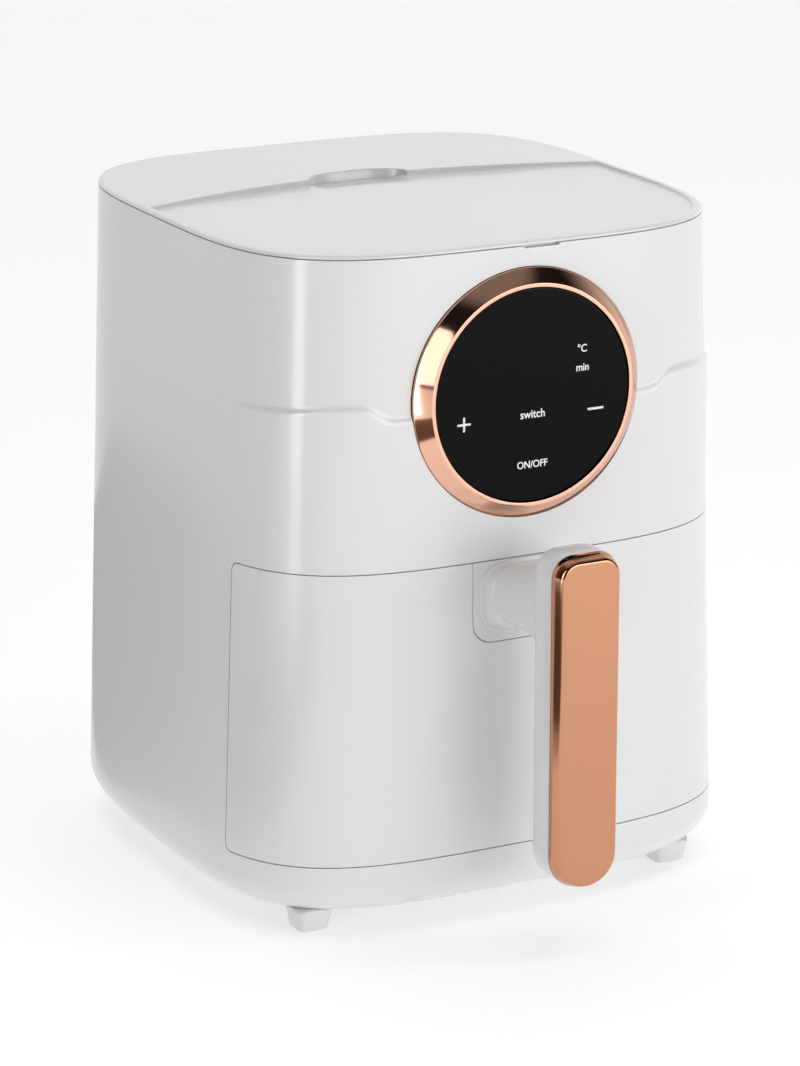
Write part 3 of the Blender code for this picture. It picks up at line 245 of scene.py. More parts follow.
def finish_of(name, colour, rough, metal=0.0, grain=60.0, stretch=(1, 1, 1), bump=0.02, spread=0.06,
              tint=0.04, coat=0.0, distance=0.0002):
    """Principled finish: noise varies the roughness and the colour a little and bends the surface.

    roughness = rough + spread (2 m - 1), m being the mean of the broad and the fine noise.
    colour = colour (1 + tint (2 c - 1)), c running from 0 to 1 as the broad noise goes from 0.3 to 0.7.
    """
    made = bpy.data.materials.new(name)
    made.use_nodes = True
    nodes, links = made.node_tree.nodes, made.node_tree.links
    shader = nodes["Principled BSDF"]
    shader.inputs["Metallic"].default_value = metal
    shader.inputs["Coat Weight"].default_value = coat
    shader.inputs["Coat Roughness"].default_value = 0.05
    place = nodes.new("ShaderNodeTexCoord")
    scale = nodes.new("ShaderNodeMapping")
    scale.inputs["Scale"].default_value = stretch
    links.new(place.outputs["Object"], scale.inputs["Vector"])
    fine, broad = nodes.new("ShaderNodeTexNoise"), nodes.new("ShaderNodeTexNoise")
    fine.inputs["Scale"].default_value = grain
    fine.inputs["Detail"].default_value = 4
    broad.inputs["Scale"].default_value = BROAD_SCALE
    broad.inputs["Detail"].default_value = 3
    links.new(scale.outputs["Vector"], fine.inputs["Vector"])
    links.new(place.outputs["Object"], broad.inputs["Vector"])
    level = nodes.new("ShaderNodeMapRange")
    level.inputs["To Min"].default_value = max(0.02, rough - spread)
    level.inputs["To Max"].default_value = min(1.0, rough + spread)
    mixed = nodes.new("ShaderNodeMath")
    mixed.operation = "MULTIPLY_ADD"
    mixed.inputs[1].default_value = 0.5
    halved = nodes.new("ShaderNodeMath")
    halved.operation = "MULTIPLY"
    halved.inputs[1].default_value = 0.5
    links.new(broad.outputs["Fac"], halved.inputs[0])
    links.new(fine.outputs["Fac"], mixed.inputs[0])
    links.new(halved.outputs[0], mixed.inputs[2])
    links.new(mixed.outputs[0], level.inputs["Value"])
    links.new(level.outputs["Result"], shader.inputs["Roughness"])
    ramp = nodes.new("ShaderNodeValToRGB")
    for element, sign in zip(ramp.color_ramp.elements, (-1, 1)):
        element.color = (*[min(1.0, c * (1 + sign * tint)) for c in colour], 1)
    ramp.color_ramp.elements[0].position = 0.3
    ramp.color_ramp.elements[1].position = 0.7
    links.new(broad.outputs["Fac"], ramp.inputs["Fac"])
    links.new(ramp.outputs["Color"], shader.inputs["Base Color"])
    bend = nodes.new("ShaderNodeBump")
    bend.inputs["Strength"].default_value = bump
    bend.inputs["Distance"].default_value = distance
    links.new(fine.outputs["Fac"], bend.inputs["Height"])
    links.new(bend.outputs["Normal"], shader.inputs["Normal"])
    return made


print("the slow changes are about", round(100 / BROAD_SCALE), "cm wide")

# %% The finishes
FINISH = {
    "white_shell": finish_of("white_gloss", (0.74, 0.74, 0.74), 0.22, grain=420, bump=0.05, spread=0.03,
                             tint=0.006, coat=0.25, distance=0.00005),
    "grey_plastic": finish_of("grey_satin", (0.075, 0.075, 0.08), 0.5, grain=900, bump=0.25),
    "copper_plating": finish_of("copper_plate", (0.80, 0.46, 0.33), 0.09, metal=1.0, grain=300,
                                stretch=(1, 1, 0.08), bump=0.01, spread=0.03, tint=0.02),
    "black_glass": finish_of("black_glass", (0.004, 0.004, 0.0043), 0.10, grain=40, bump=0.0, spread=0.03),
    "pan_coating": finish_of("pan_coating", (0.030, 0.030, 0.032), 0.42, metal=0.3, grain=700, bump=0.35,
                             tint=0.25),
    "sheet_steel": finish_of("sheet_steel", (0.60, 0.60, 0.61), 0.34, metal=1.0, grain=200,
                             stretch=(0.05, 1, 1), bump=0.06, spread=0.08, tint=0.05),
    "aluminium": finish_of("aluminium", (0.75, 0.75, 0.77), 0.30, metal=1.0, grain=240, stretch=(1, 0.05, 1),
                           bump=0.05, spread=0.08, tint=0.04),
    "silicone": finish_of("silicone", (0.022, 0.022, 0.024), 0.62, grain=500, bump=0.15, tint=0.1),
    "circuit_board": finish_of("circuit_board", (0.014, 0.10, 0.035), 0.45, grain=160, stretch=(1, 1, 3),
                               bump=0.5, tint=0.35),
    "screw_steel": finish_of("screw_steel", (0.56, 0.57, 0.60), 0.28, metal=1.0, grain=800, bump=0.1,
                             tint=0.08),
    "bush_metal": finish_of("bush_metal", (0.50, 0.34, 0.13), 0.45, metal=1.0, grain=900, bump=0.3,
                            tint=0.15),
}
FINISH["black_glass"].node_tree.nodes["Principled BSDF"].inputs["Specular IOR Level"].default_value = 0.06
SATIN_COPPER = finish_of("copper_satin", (0.585, 0.285, 0.165), 0.13, metal=1.0, grain=300,
                         stretch=(1, 1, 0.05), bump=0.02, spread=0.04, tint=0.02)
PRINT = finish_of("printed_white", (0.86, 0.87, 0.88), 0.5, grain=800, bump=0.0, tint=0.02)
print(len(FINISH), "finishes, a satin one for the trim and the printing white")

# %% Finishes on the CAD nodes
for row in frame["record"]["subparts"]:
    node = frame["nodes"][row["node"]]
    node.data.materials.clear()
    node.data.materials.append(FINISH[row["material_slot"]])
print(len(FINISH), "finishes on", len(frame["nodes"]), "nodes")

# %% [markdown]
# ## Helpers
#
# A piece starts as an array of points and an array of faces. Thin mouldings are one sheet that a Solidify
# modifier thickens inwards, and a Bevel softens its edges; solid pieces are closed rings joined in turn.
# Sculpting or Booleans could make the same shapes, but only a grid keeps its lines along the edges, which is
# what makes a reflection run smoothly up to a seam.


# %% A piece from arrays
def add_piece(name, points, faces, body, slot, stands_for=(), material=None):
    """A mesh object at the origin from an array of points and an array of four-cornered faces."""
    mesh = bpy.data.meshes.new(name)
    points = np.asarray(points, float) + np.array([0.0, centre_y, 0.0])
    mesh.from_pydata(points.tolist(), [], [list(dict.fromkeys(face)) for face in np.asarray(faces).tolist()])
    mesh.update()
    mesh.shade_smooth()
    mesh.materials.append(material or FINISH[slot])
    made = bpy.data.objects.new(name, mesh)
    bpy.context.scene.collection.objects.link(made)
    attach(made, body)
    if stands_for:
        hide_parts(*stands_for)
    print(name, len(points), "points", len(faces), "faces")
    return made


def quads(index, keep=None):
    """Faces between neighbouring points of a grid of indices, rows upwards and columns anticlockwise."""
    faces = np.stack([index[:-1, :-1], index[:-1, 1:], index[1:, 1:], index[1:, :-1]], axis=-1)
    return faces[keep] if keep is not None else faces.reshape(-1, 4)


def wrapped(index):
    """The grid with its first column repeated after its last."""
    return np.hstack([index, index[:, :1]])


print("a grid of 2 by 3 points has", len(quads(np.arange(6).reshape(2, 3))), "faces")


# %% Walls, lofts and joined solids
def thicken(made, thickness, edge, steps=2):
    """Wall thickness inwards and a small round on every sharp edge."""
    solid = made.modifiers.new("thickness", "SOLIDIFY")
    solid.thickness = thickness
    solid.offset = -1
    bevel = made.modifiers.new("edges", "BEVEL")
    bevel.width = edge
    bevel.segments = steps
    bevel.limit_method = "ANGLE"
    bevel.angle_limit = math.radians(40)
    bevel.harden_normals = True
    return made


def loft(rings, low_cap=True, high_cap=True):
    """Points and faces of closed rings joined in turn, ends closed by a fan round the ring's mean point."""
    rings = np.asarray(rings, float)
    count = rings.shape[1]
    index = np.arange(rings.shape[0] * count).reshape(rings.shape[0], count)
    faces = [quads(wrapped(index))]
    points = [rings.reshape(-1, 3)]
    total = rings.shape[0] * count
    for wanted, ring, turn in ((low_cap, 0, -1), (high_cap, -1, 1)):
        if not wanted:
            continue
        points.append(rings[ring].mean(axis=0)[None])
        edge = index[ring][::turn]
        faces.append(np.column_stack([edge, np.roll(edge, -1), np.full(count, total), np.full(count, total)]))
        total += 1
    return np.vstack(points), np.vstack(faces)


def merged(*solids):
    """Several (points, faces) as one."""
    points, faces, start = [], [], 0
    for some, theirs in solids:
        points.append(some)
        faces.append(theirs + start)
        start += len(some)
    return np.vstack(points), np.vstack(faces)


print("two rings of 4 points, closed, have", len(loft(np.zeros((2, 4, 3)))[1]), "faces")


# %% A round hole in a grid
HOLE_SHARES = [0.0, 0.05, 0.13, 0.26, 0.45, 0.70]  # rings from the circle towards the rectangle


def round_hole(points, index, rows, columns, centre, radius, surface):
    """Turns a rectangle of the grid into rings between its edge and a circle, and returns their faces.

    Ring k lies at circle + (edge - circle) f_k, and surface(x, z) gives its depth.
    """
    (i0, i1), (j0, j1) = rows, columns
    edge = joined(index[i0, j0:j1], index[i0:i1, j1], index[i1, j1:j0:-1], index[i1:i0:-1, j0])
    at = points[edge][:, [0, 2]]
    angle = np.arctan2(at[:, 1] - centre[1], at[:, 0] - centre[0])
    circle = np.array(centre) + radius * np.column_stack([np.cos(angle), np.sin(angle)])
    share = np.array(HOLE_SHARES)[:, None, None]
    flat = circle + (at - circle) * share
    x, z = flat[..., 0], flat[..., 1]
    made = np.stack([x, surface(x, z), z], axis=-1).reshape(-1, 3)
    ring = np.arange(len(points), len(points) + len(made)).reshape(len(share), len(edge))
    turns = wrapped(np.vstack([ring, edge]))
    faces = np.stack([turns[:-1, :-1], turns[1:, :-1], turns[1:, 1:], turns[:-1, 1:]], axis=-1).reshape(-1, 4)
    return np.vstack([points, made]), faces


print("a hole is met by", len(HOLE_SHARES), "rings")

# %% [markdown]
# ## Housing
#
# The housing is one moulding: front, sides and back in a single wall, turned in at the bottom, with openings
# for the drawer, the display and the rear cover. It could be cut by Booleans, but a grid whose lines follow
# the openings keeps the reflections clean. The rows near an opening's corner bend to give it its radius.
#
# First come the grid's columns, each face with its own, closer together where the body is more curved.

# %% Columns of the housing
display_edge = ring_radius + DISPLAY_MARGIN
drawer_t = DRAWER_CORNER * CORNER_STEPS
rear_t = (REAR_CORNER + SEAM) * CORNER_STEPS
front_corner = DIAGONAL * widest[0]
side_corner = DIAGONAL * widest[1]
slit = np.array([-0.0016, -0.0008, 0.0163, 0.0171])  # ends of the small slit in the seam over the display
front_x = joined(
    spaced(-front_corner, -display_edge, 0.0021),
    np.sort(joined(spaced(-display_edge, display_edge, 0.0033), slit)),
    spaced(display_edge, front_corner, 0.0021),
)
right_y = joined(
    spaced(-side_corner, open_back - DRAWER_CORNER, 0.0025),
    open_back - drawer_t[::-1],
    spaced(open_back, side_corner - 0.03, 0.005)[1:],
    spaced(side_corner - 0.03, side_corner, 0.0022),
)
rear_edge = rear_half + SEAM
back_x = joined(
    spaced(front_corner, rear_edge, 0.0024),
    rear_edge - rear_t,
    spaced(rear_edge - REAR_CORNER - SEAM, -rear_edge + REAR_CORNER + SEAM, 0.006)[1:],
    -(rear_edge - rear_t[::-1]),
    spaced(-rear_edge, -front_corner, 0.0024)[1:],
)
left_y = joined(side_corner, right_y[:0:-1])
face = np.repeat([0, 1, 2, 3], [len(front_x), len(right_y), len(back_x), len(left_y)])
column = joined(front_x, right_y, back_x, left_y)
edge_of = np.choose(face, [display_edge, -open_back, rear_edge, -open_back])
print(len(column), "columns: front, right, back and left have", np.bincount(face))

# %% Rows of the housing
turn = np.radians(np.linspace(0, 90, 9))
hole_z = (ring_z - display_edge + 0.0005, ring_z + display_edge - 0.0030)
# a row lies on each mark, and the rows above it are about its step apart
marks = [side_z, open_low, rear_z[0] - SEAM, open_high, hole_z[0], 0.2410, 0.2460, 0.2545, rear_z[1] + SEAM,
         hole_z[1], seam_z - 0.0012, seam_z]
steps = [0.004, 0.005, 0.006, 0.004, 0.005, 0.0012, 0.0008, 0.005, 0.004, 0.002, 0.0012]
row_z = joined(np.full(3, floor_z), floor_z + BOTTOM_ROUND * (1 - np.cos(turn[:-1])),
               *[spaced(marks[k], marks[k + 1], steps[k]) for k in range(len(steps))], seam_z)
row_inset = joined([FLANGE_INSET, 0.034, 0.026], BOTTOM_ROUND * (1 - np.sin(turn[:-1])),
                   np.zeros(len(row_z) - 3 - 8))


def row_at(z):
    """The number of the row nearest to z, the bottom's three flat rows left out."""
    return int(np.argmin(np.abs(row_z[3:] - z))) + 3


print(len(row_z), "rows, the drawer's opening from row", row_at(open_low), "to", row_at(open_high))

# %% Bent rows, and the points of the wall
zz = np.repeat(row_z[:, None], len(column), axis=1)
drawer_in = np.where(face % 2 == 1, open_back - column, np.where(face == 0, 1.0, -1.0))
rear_in = np.where(face == 2, rear_edge - np.abs(column), -1.0)
zz = zz + corner_shift(drawer_in, zz, open_low, open_high, DRAWER_CORNER, (0.0070, 0.02, 0.012))
zz = zz + corner_shift(rear_in, row_z[:, None], rear_z[0] - SEAM, rear_z[1] + SEAM, REAR_CORNER + SEAM,
                       (0.021, 0.019, 0.020))
xx, yy = plan_point(face, column, zz, row_inset[:, None], edge_of)
xx, yy = plan_point(face, column, zz, row_inset[:, None] - bulge(xx, yy, zz), edge_of)
in_slit = (face == 0) & (column > -0.001) & (column < 0.0168)
zz[-1] -= np.where(in_slit, 0.0010, 0.0)
grid = np.stack([xx, yy, zz], axis=-1)
index = np.arange(zz.size).reshape(zz.shape)
print(index.size, "points, the widest", round(float(xx.max()), 4), "from the middle")

# %% Openings of the housing
keep = np.ones((len(row_z) - 1, len(column)), bool)
right_edge = int(np.flatnonzero((face == 1) & (np.abs(column - open_back) < 1e-9))[0])
left_edge = int(np.flatnonzero((face == 3) & (np.abs(column - open_back) < 1e-9))[0])
drawer_rows = slice(row_at(open_low), row_at(open_high))
keep[drawer_rows, :right_edge] = False
keep[drawer_rows, left_edge:] = False
rear_columns = np.flatnonzero((face == 2) & (np.abs(column) < rear_edge + 1e-9))
keep[row_at(rear_z[0] - SEAM) : row_at(rear_z[1] + SEAM), rear_columns[0] : rear_columns[-1]] = False
shown_columns = np.flatnonzero((face == 0) & (np.abs(column) < display_edge + 1e-9))
columns = (shown_columns[0], shown_columns[-1])
rows = (row_at(hole_z[0]), row_at(hole_z[1]))
keep[rows[0] : rows[1], columns[0] : columns[1]] = False
print(int((~keep).sum()), "faces left out for the drawer, the display and the rear cover")


# %% The display's hole and the finished housing
def front_surface(x, z):
    """-b of the plan with the swelling added: the depth of the front with its shoulder."""
    return -depth_at(x, z, -bulge(x, -0.12, z))


points, ring_faces = round_hole(grid.reshape(-1, 3), index, rows, columns, (0.0, ring_z),
                                ring_radius + FIT, front_surface)
faces = np.vstack([quads(wrapped(index), keep), ring_faces])
shell = add_piece("housing_shell", points, faces, "housing", "white_shell", ["main_housing"])
thicken(shell, WALL, 0.0004)

# %% [markdown]
# ## Drawer front
#
# The drawer front is flush with the housing and wraps round both front corners. It is lipped inwards all
# round, and its top edge is notched for the foot of the handle. The same bent rows give its corners.
#
# It could be cut out of the housing's own mesh, but its edges are its own and move with it, so it gets its
# own columns and rows on the same outline, which keeps the two surfaces flush.

# %% Columns and rows of the drawer front
notch = 0.0277  # half width of the notch
foot_z = 0.1357  # its lower edge
corner_in = DRAWER_CORNER - DRAWER_GAP
panel_back = open_back - DRAWER_GAP
panel_t = corner_in * CORNER_STEPS
notch_t = PATCH_CORNER * CORNER_STEPS
half_front = joined(-front_corner, spaced(-front_corner, -0.060, 0.0020)[1:], spaced(-0.060, -notch, 0.0032),
                    -notch + notch_t, spaced(-notch + PATCH_CORNER, 0.0, 0.0035)[1:])
panel_front = joined(half_front, 0.0, -half_front[:0:-1])
panel_side = joined(spaced(-side_corner, panel_back - corner_in, 0.0022), panel_back - panel_t[::-1])
panel_face = np.repeat([3, 0, 1], [len(panel_side) - 1, len(panel_front), len(panel_side)])
panel_column = joined(panel_side[:0:-1], panel_front, panel_side)
panel_edge = np.where(panel_face == 0, 0.060, -open_back)
panel_rows = joined(spaced(panel_low.z, foot_z, 0.0040), spaced(foot_z, panel_high.z, 0.0028), panel_high.z)
notch_row = int(np.argmin(np.abs(panel_rows - foot_z)))
print(len(panel_rows), "rows and", len(panel_column), "columns")

# %% Bent rows and the notch
zz = np.repeat(panel_rows[:, None], len(panel_column), axis=1)
side_in = np.where(panel_face == 0, 1.0, panel_back - panel_column)
shift = corner_shift(side_in, zz, panel_low.z, panel_high.z, corner_in, (0.01, 0.01, 0.01))
notch_in = np.where(panel_face == 0, notch - np.abs(panel_column), -1.0)
above, below = 1 - (zz - foot_z) / (panel_high.z - foot_z), np.clip(1 - (foot_z - zz) / 0.03, 0, 1)
lift = np.where(zz >= foot_z, above, below)
zz = zz + shift + corner_rise(notch_in, PATCH_CORNER, 0.012) * lift
xx, yy = plan_point(panel_face, panel_column, zz, 0.0, panel_edge)
grid = np.stack([xx, yy, zz], axis=-1)
index = np.arange(zz.size).reshape(zz.shape)
keep = np.ones((len(panel_rows) - 1, len(panel_column) - 1), bool)
notch_columns = np.flatnonzero((panel_face == 0) & (np.abs(panel_column) < notch + 1e-9))
n0, n1 = notch_columns[0], notch_columns[-1]
keep[notch_row:, n0:n1] = False
print("the notch leaves out", int((~keep).sum()), "faces")

# %% The lip, and the finished drawer front
last = len(panel_rows) - 1
border = joined(
    index[0, :-1], index[:-1, -1], index[last, :n1:-1], index[last:notch_row:-1, n1],
    index[notch_row, n1:n0:-1], index[notch_row:last, n0], index[last, n0:0:-1], index[last:0:-1, 0],
)
rim = grid.reshape(-1, 3)[border]
a, b = half_sizes(rim[:, 2])
across = np.sign(rim[:, 0]) * np.abs(rim[:, 0] / a) ** (SQUARENESS - 1) / a
along = np.sign(rim[:, 1]) * np.abs(rim[:, 1] / b) ** (SQUARENESS - 1) / b
normal = np.column_stack([across, along, np.zeros(len(rim))])
normal /= np.linalg.norm(normal, axis=1)[:, None]
lips = np.vstack([rim - normal * reach for reach in (0.004, 0.008, 0.012)])
lip_index = np.vstack([border, zz.size + np.arange(len(lips)).reshape(3, -1)])
lip_faces = quads(wrapped(lip_index))[:, ::-1]
points, faces = np.vstack([grid.reshape(-1, 3), lips]), np.vstack([quads(index, keep), lip_faces])
panel = add_piece("drawer_panel", points, faces, "drawer", "white_shell", ["drawer_front"])
thicken(panel, 0.0022, 0.0004)

# %% [markdown]
# ## Top cover
#
# The cover's rim is rounded. Inside a narrow flat lip the front area is recessed, sloping gently down to a
# bowed step; behind the step the cover is level. A scoop for the fingers cuts back into the step's middle.
# A square grid is mapped onto the outline, and its rows are bent to run along the step and the scoop's wall.
#
# A fan of faces round the middle would be quicker, but its long thin faces would crease the shallow recess.

# %% The cover's height
LIP = 0.0036
STEP_BACK = 0.040
STEP_BOW = 0.0255
SCOOP_HALF = 0.026
SCOOP_REACH = 0.0115
RECESS = (0.0008, 0.0026, 0.0052)  # depth at the front, at the step and in the scoop
CORE = 0.0080


def step_line(x):
    """y = y0 - bow (x/a)^2 + reach sqrt(1 - |x/s|^2.6): the step, with the scoop cut behind it."""
    scoop = np.clip(1 - np.abs(x / SCOOP_HALF) ** 2.6, 0, 1) ** 0.5
    return STEP_BACK - STEP_BOW * (x / half_seam[0]) ** 2 + SCOOP_REACH * scoop


def cover_height(x, y, inset):
    """Top height less the recess, which starts inside the lip and ends at the step."""
    start = -half_seam[1]
    share = np.clip((y - start) / (STEP_BACK - start), 0, 1)
    depth = RECESS[0] + (RECESS[1] - RECESS[0]) * share * (1 - 0.5 * smooth((np.abs(x) - 0.060) / 0.045))
    dip = smooth((y - STEP_BACK + 0.014) / 0.020) * smooth((SCOOP_HALF - np.abs(x)) / 0.006)
    depth = depth + (RECESS[2] - RECESS[1]) * dip
    ahead = 1 - smooth((y - step_line(x) + 0.0012) / 0.0012)
    return top_z - depth * ahead * smooth((inset - LIP) / 0.0009)


print("the scoop is", round((top_z - float(cover_height(0.0, STEP_BACK, 0.01))) * 1000, 1), "mm deep")

# %% Columns and rows of the cover
a0, b0 = half_sizes(seam_z)
RIM_IN = 0.008
near_scoop = np.array([-2.5, -1.4, -0.8, -0.45, -0.2, 0.0, 0.3, 0.8, 1.6]) * 0.001
half_s = joined(spaced(0.0, SCOOP_HALF - 0.0035, 0.003), SCOOP_HALF + near_scoop,
                spaced(SCOOP_HALF + 0.0025, a0 - RIM_IN, 0.0034)) / (a0 - RIM_IN)
s_lines = joined(-1.0, -half_s[::-1], half_s[1:], 1.0)
# rows ahead of the step, down its wall and behind it, in mm from its line
offsets = 0.001 * np.array([-6.0, -4.2, -3.0, -2.1, -1.5, -1.2, -1.0, -0.8, -0.6, -0.4, -0.2, 0.0, 0.25, 0.7,
                            1.6, 3.0])
front_share = np.linspace(0, 1, 30)[:-1]
rear_share = np.linspace(0, 1, 15)[1:]
scale = b0 - RIM_IN
edge_y = step_line(s_lines * (a0 - RIM_IN))
low_t, high_t = (edge_y + offsets[0]) / scale, (edge_y + offsets[-1]) / scale
t_grid = np.vstack([
    -1 + front_share[:, None] * (low_t + 1),
    (edge_y + offsets[:, None]) / scale,
    high_t + rear_share[:, None] * (1 - high_t),
])
s_grid = np.repeat(s_lines[None], len(t_grid), axis=0)
print("grid of", t_grid.shape, "with", len(offsets), "rows close to the step")


# %% The square grid on the outline
def squared(s, t, inset):
    """(a s m, b t m), m = 1 + (|s|^n + |t|^n)^(-1/n) M^3 - M^2, M = max(|s|, |t|): square to outline."""
    reach = np.maximum(np.maximum(np.abs(s), np.abs(t)), 1e-9)
    power = (np.abs(s) ** SQUARENESS + np.abs(t) ** SQUARENESS + 1e-30) ** (-1 / SQUARENESS)
    pull = 1 + (power * reach - 1) * reach**2
    return (a0 - inset) * s * pull, (b0 - inset) * t * pull


xx, yy = squared(s_grid, t_grid, RIM_IN)
inner = np.stack([xx, yy, cover_height(xx, yy, RIM_IN)], axis=-1)
index = np.arange(xx.size).reshape(xx.shape)
border = joined(index[0, :-1], index[:-1, -1], index[-1, :0:-1], index[:0:-1, 0])
bs, bt = s_grid.reshape(-1)[border], t_grid.reshape(-1)[border]
print("border of", len(border), "points")

# %% The cover's rim and underside
round_r = 0.0014
top_in = np.array([6.2, 5.2, 4.7, 4.4, 4.15, 3.9, 3.6, 3.2, 2.2, 1.4]) * 0.001
rings = []
for inset in top_in:
    x, y = squared(bs, bt, inset)
    rings.append(np.column_stack([x, y, cover_height(x, y, inset)]))
for angle in np.radians([22.5, 45, 67.5, 90]):
    x, y = squared(bs, bt, round_r * (1 - math.sin(angle)))
    rings.append(np.column_stack([x, y, np.full(len(x), top_z - round_r * (1 - math.cos(angle)))]))
for inset, z in ((0.0, seam_z + SEAM + 0.0001), (0.0001, seam_z + SEAM), (0.0026, seam_z + SEAM),
                 (0.0028, seam_z), (0.0028, cover_low.z + 0.0001), (0.0052, cover_low.z + 0.0001),
                 (0.0052, top_z - CORE)):
    x, y = squared(bs, bt, inset)
    rings.append(np.column_stack([x, y, np.full(len(x), z)]))
rings = np.array(rings)
ring_numbers = xx.size + np.arange(rings.shape[0] * rings.shape[1]).reshape(rings.shape[:2])
ring_index = np.vstack([border, ring_numbers])
points = np.vstack([inner.reshape(-1, 3), rings.reshape(-1, 3), [[0.0, 0.0, top_z - CORE]]])
turned_rows = quads(wrapped(ring_index))[:, ::-1]
last_ring = ring_index[-1]
middle = np.full(len(last_ring), len(points) - 1)
under_cap = np.column_stack([last_ring, np.roll(last_ring, -1), middle, middle])[:, ::-1]
faces = np.vstack([quads(index), turned_rows, under_cap])
add_piece("cover_skin", points, faces, "housing", "white_shell", ["top_cover"])

# %% [markdown]
# ## Display
#
# The plated ring is a shallow cone, the glass lies just inside its top edge, and the legends are printed on
# the glass. Ring and glass are turned profiles; the legends are plain words and signs.
#
# A torus and a disc with a bevel would come close, but a turned profile puts each small round where the real
# tool leaves it, and the narrow bright line round the glass comes from that.


# %% Turned profiles
def rounded_profile(corners, radii, steps=4):
    """The closed profile through the corners, each corner replaced by an arc-like curve of its radius."""
    corners = np.asarray(corners, float)
    before, after = np.roll(corners, 1, axis=0), np.roll(corners, -1, axis=0)
    made = []
    for corner, one, two, radius in zip(corners, before, after, radii):
        if radius == 0:
            made.append(corner[None])
            continue
        u = (one - corner) / np.linalg.norm(one - corner)
        v = (two - corner) / np.linalg.norm(two - corner)
        t = np.linspace(0, 1, steps + 1)[:, None]
        start, end = corner + u * radius, corner + v * radius
        made.append((1 - t) ** 2 * start + 2 * t * (1 - t) * corner + t**2 * end)
    return np.vstack(made)


def turned_y(profile, count, middle=(0.0, 0.0), loop=True):
    """(r cos w, y, r sin w) round an axis along Y, for a profile of (y, r)."""
    angle = -2 * math.pi * np.arange(count) / count
    y, r = np.asarray(profile, float).T
    x = middle[0] + np.outer(r, np.cos(angle))
    z = middle[1] + np.outer(r, np.sin(angle))
    rings = np.stack([x, np.repeat(y[:, None], count, axis=1), z], axis=-1)
    if loop:
        rings = np.concatenate([rings, rings[:1]])
        points, faces = loft(rings, False, False)
        start = (len(rings) - 1) * count
        faces = np.where(faces >= start, faces - start, faces)
        return points[:start], faces
    return loft(rings, True, True)


print("a rounded square has", len(rounded_profile([(0, 0), (1, 0), (1, 1), (0, 1)], [0.1] * 4)), "points")

# %% Ring and glass
ring_front, ring_back = ring_low.y - centre_y, ring_high.y - centre_y
glass_front, glass_back = glass_low.y - centre_y, glass_high.y - centre_y
profile = rounded_profile(
    [(ring_back, glass_radius - 0.0030), (glass_back + FIT, glass_radius - 0.0030),
     (glass_back + FIT, glass_radius), (ring_front, glass_radius), (ring_front, glass_radius + 0.0017),
     (ring_front + 0.0060, ring_radius - 0.0003), (ring_front + 0.0064, ring_radius),
     (ring_back, ring_radius)],
    [0, 0, 0, 0.00018, 0.00018, 0.0003, 0.0003, 0])
add_piece("ring_skin", *turned_y(profile, 240, (0.0, ring_z)), "housing", "copper_plating", ["display_ring"])
disc = glass_radius - FIT
profile = [(glass_front, disc * 0.3), (glass_front, disc - 0.0012), (glass_front, disc - 0.0008),
           (glass_front + 0.00008, disc - 0.0003), (glass_front + 0.00025, disc - 0.0001),
           (glass_front + 0.0005, disc), (glass_back, disc), (glass_back, disc * 0.5)]
glass_solid = turned_y(profile, 200, (0.0, ring_z), loop=False)
add_piece("glass_disc", *glass_solid, "housing", "black_glass", ["display_glass"])

# %% Printed words
print_y = glass_front - 0.00006 + centre_y  # the print stands just clear of the glass


def legend(name, words, place, size):
    """A printed word as a thin flat mesh, centred on place: (x, y) of the type become (0.92 x, z)."""
    curve = bpy.data.curves.new(name, "FONT")
    curve.body = words
    curve.size = size
    curve.align_x = "CENTER"
    curve.align_y = "CENTER"
    curve.offset = size * 0.012
    curve.extrude = 0.00003
    text = bpy.data.objects.new(name + "_curve", curve)
    bpy.context.scene.collection.objects.link(text)
    flat = bpy.data.meshes.new_from_object(text.evaluated_get(bpy.context.evaluated_depsgraph_get()))
    bpy.data.objects.remove(text)
    flat.name = name
    count = len(flat.vertices)
    points = np.empty(count * 3)
    flat.vertices.foreach_get("co", points)
    x, z, deep = points.reshape(-1, 3).T
    stood_up = np.column_stack([x * 0.92 + place[0], print_y - deep, z + place[1]])
    flat.vertices.foreach_set("co", stood_up.astype(np.float32).ravel())
    flat.update()
    flat.materials.clear()
    flat.materials.append(PRINT)
    made = bpy.data.objects.new(name, flat)
    bpy.context.scene.collection.objects.link(made)
    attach(made, "housing")
    print(name, count, "points")
    return made


for name, words, place, size in (
    ("legend_switch", "switch", (0.0, -0.0088), 0.0054),
    ("legend_power", "ON/OFF", (0.0, -0.0322), 0.0047),
    ("legend_degrees", "°C", (0.0252, 0.0187), 0.0050),
    ("legend_minutes", "min", (0.0255, 0.0100), 0.0050),
):
    legend(name, words, (place[0], ring_z + place[1]), size)


# %% Printed signs
def bar(width, height, place):
    """A thin printed bar: a rectangle and its copy 0.06 mm further back, joined."""
    low = np.array([place[0] - width / 2, print_y - centre_y - 0.00003, place[1] - height / 2])
    ring = np.array([[0, 0, 0], [width, 0, 0], [width, 0, height], [0, 0, height]]) + low
    return loft([ring[::-1], ring[::-1] + [0, 0.00006, 0]])


plus = (-0.0350, ring_z - 0.0096)
minus = (0.0325, ring_z - 0.0099)
signs = merged(bar(0.0068, 0.0010, plus), bar(0.0010, 0.0029, (plus[0], plus[1] + 0.00195)),
               bar(0.0010, 0.0029, (plus[0], plus[1] - 0.00195)), bar(0.0082, 0.0011, minus))
add_piece("legend_signs", *signs, "housing", "black_glass", material=PRINT)

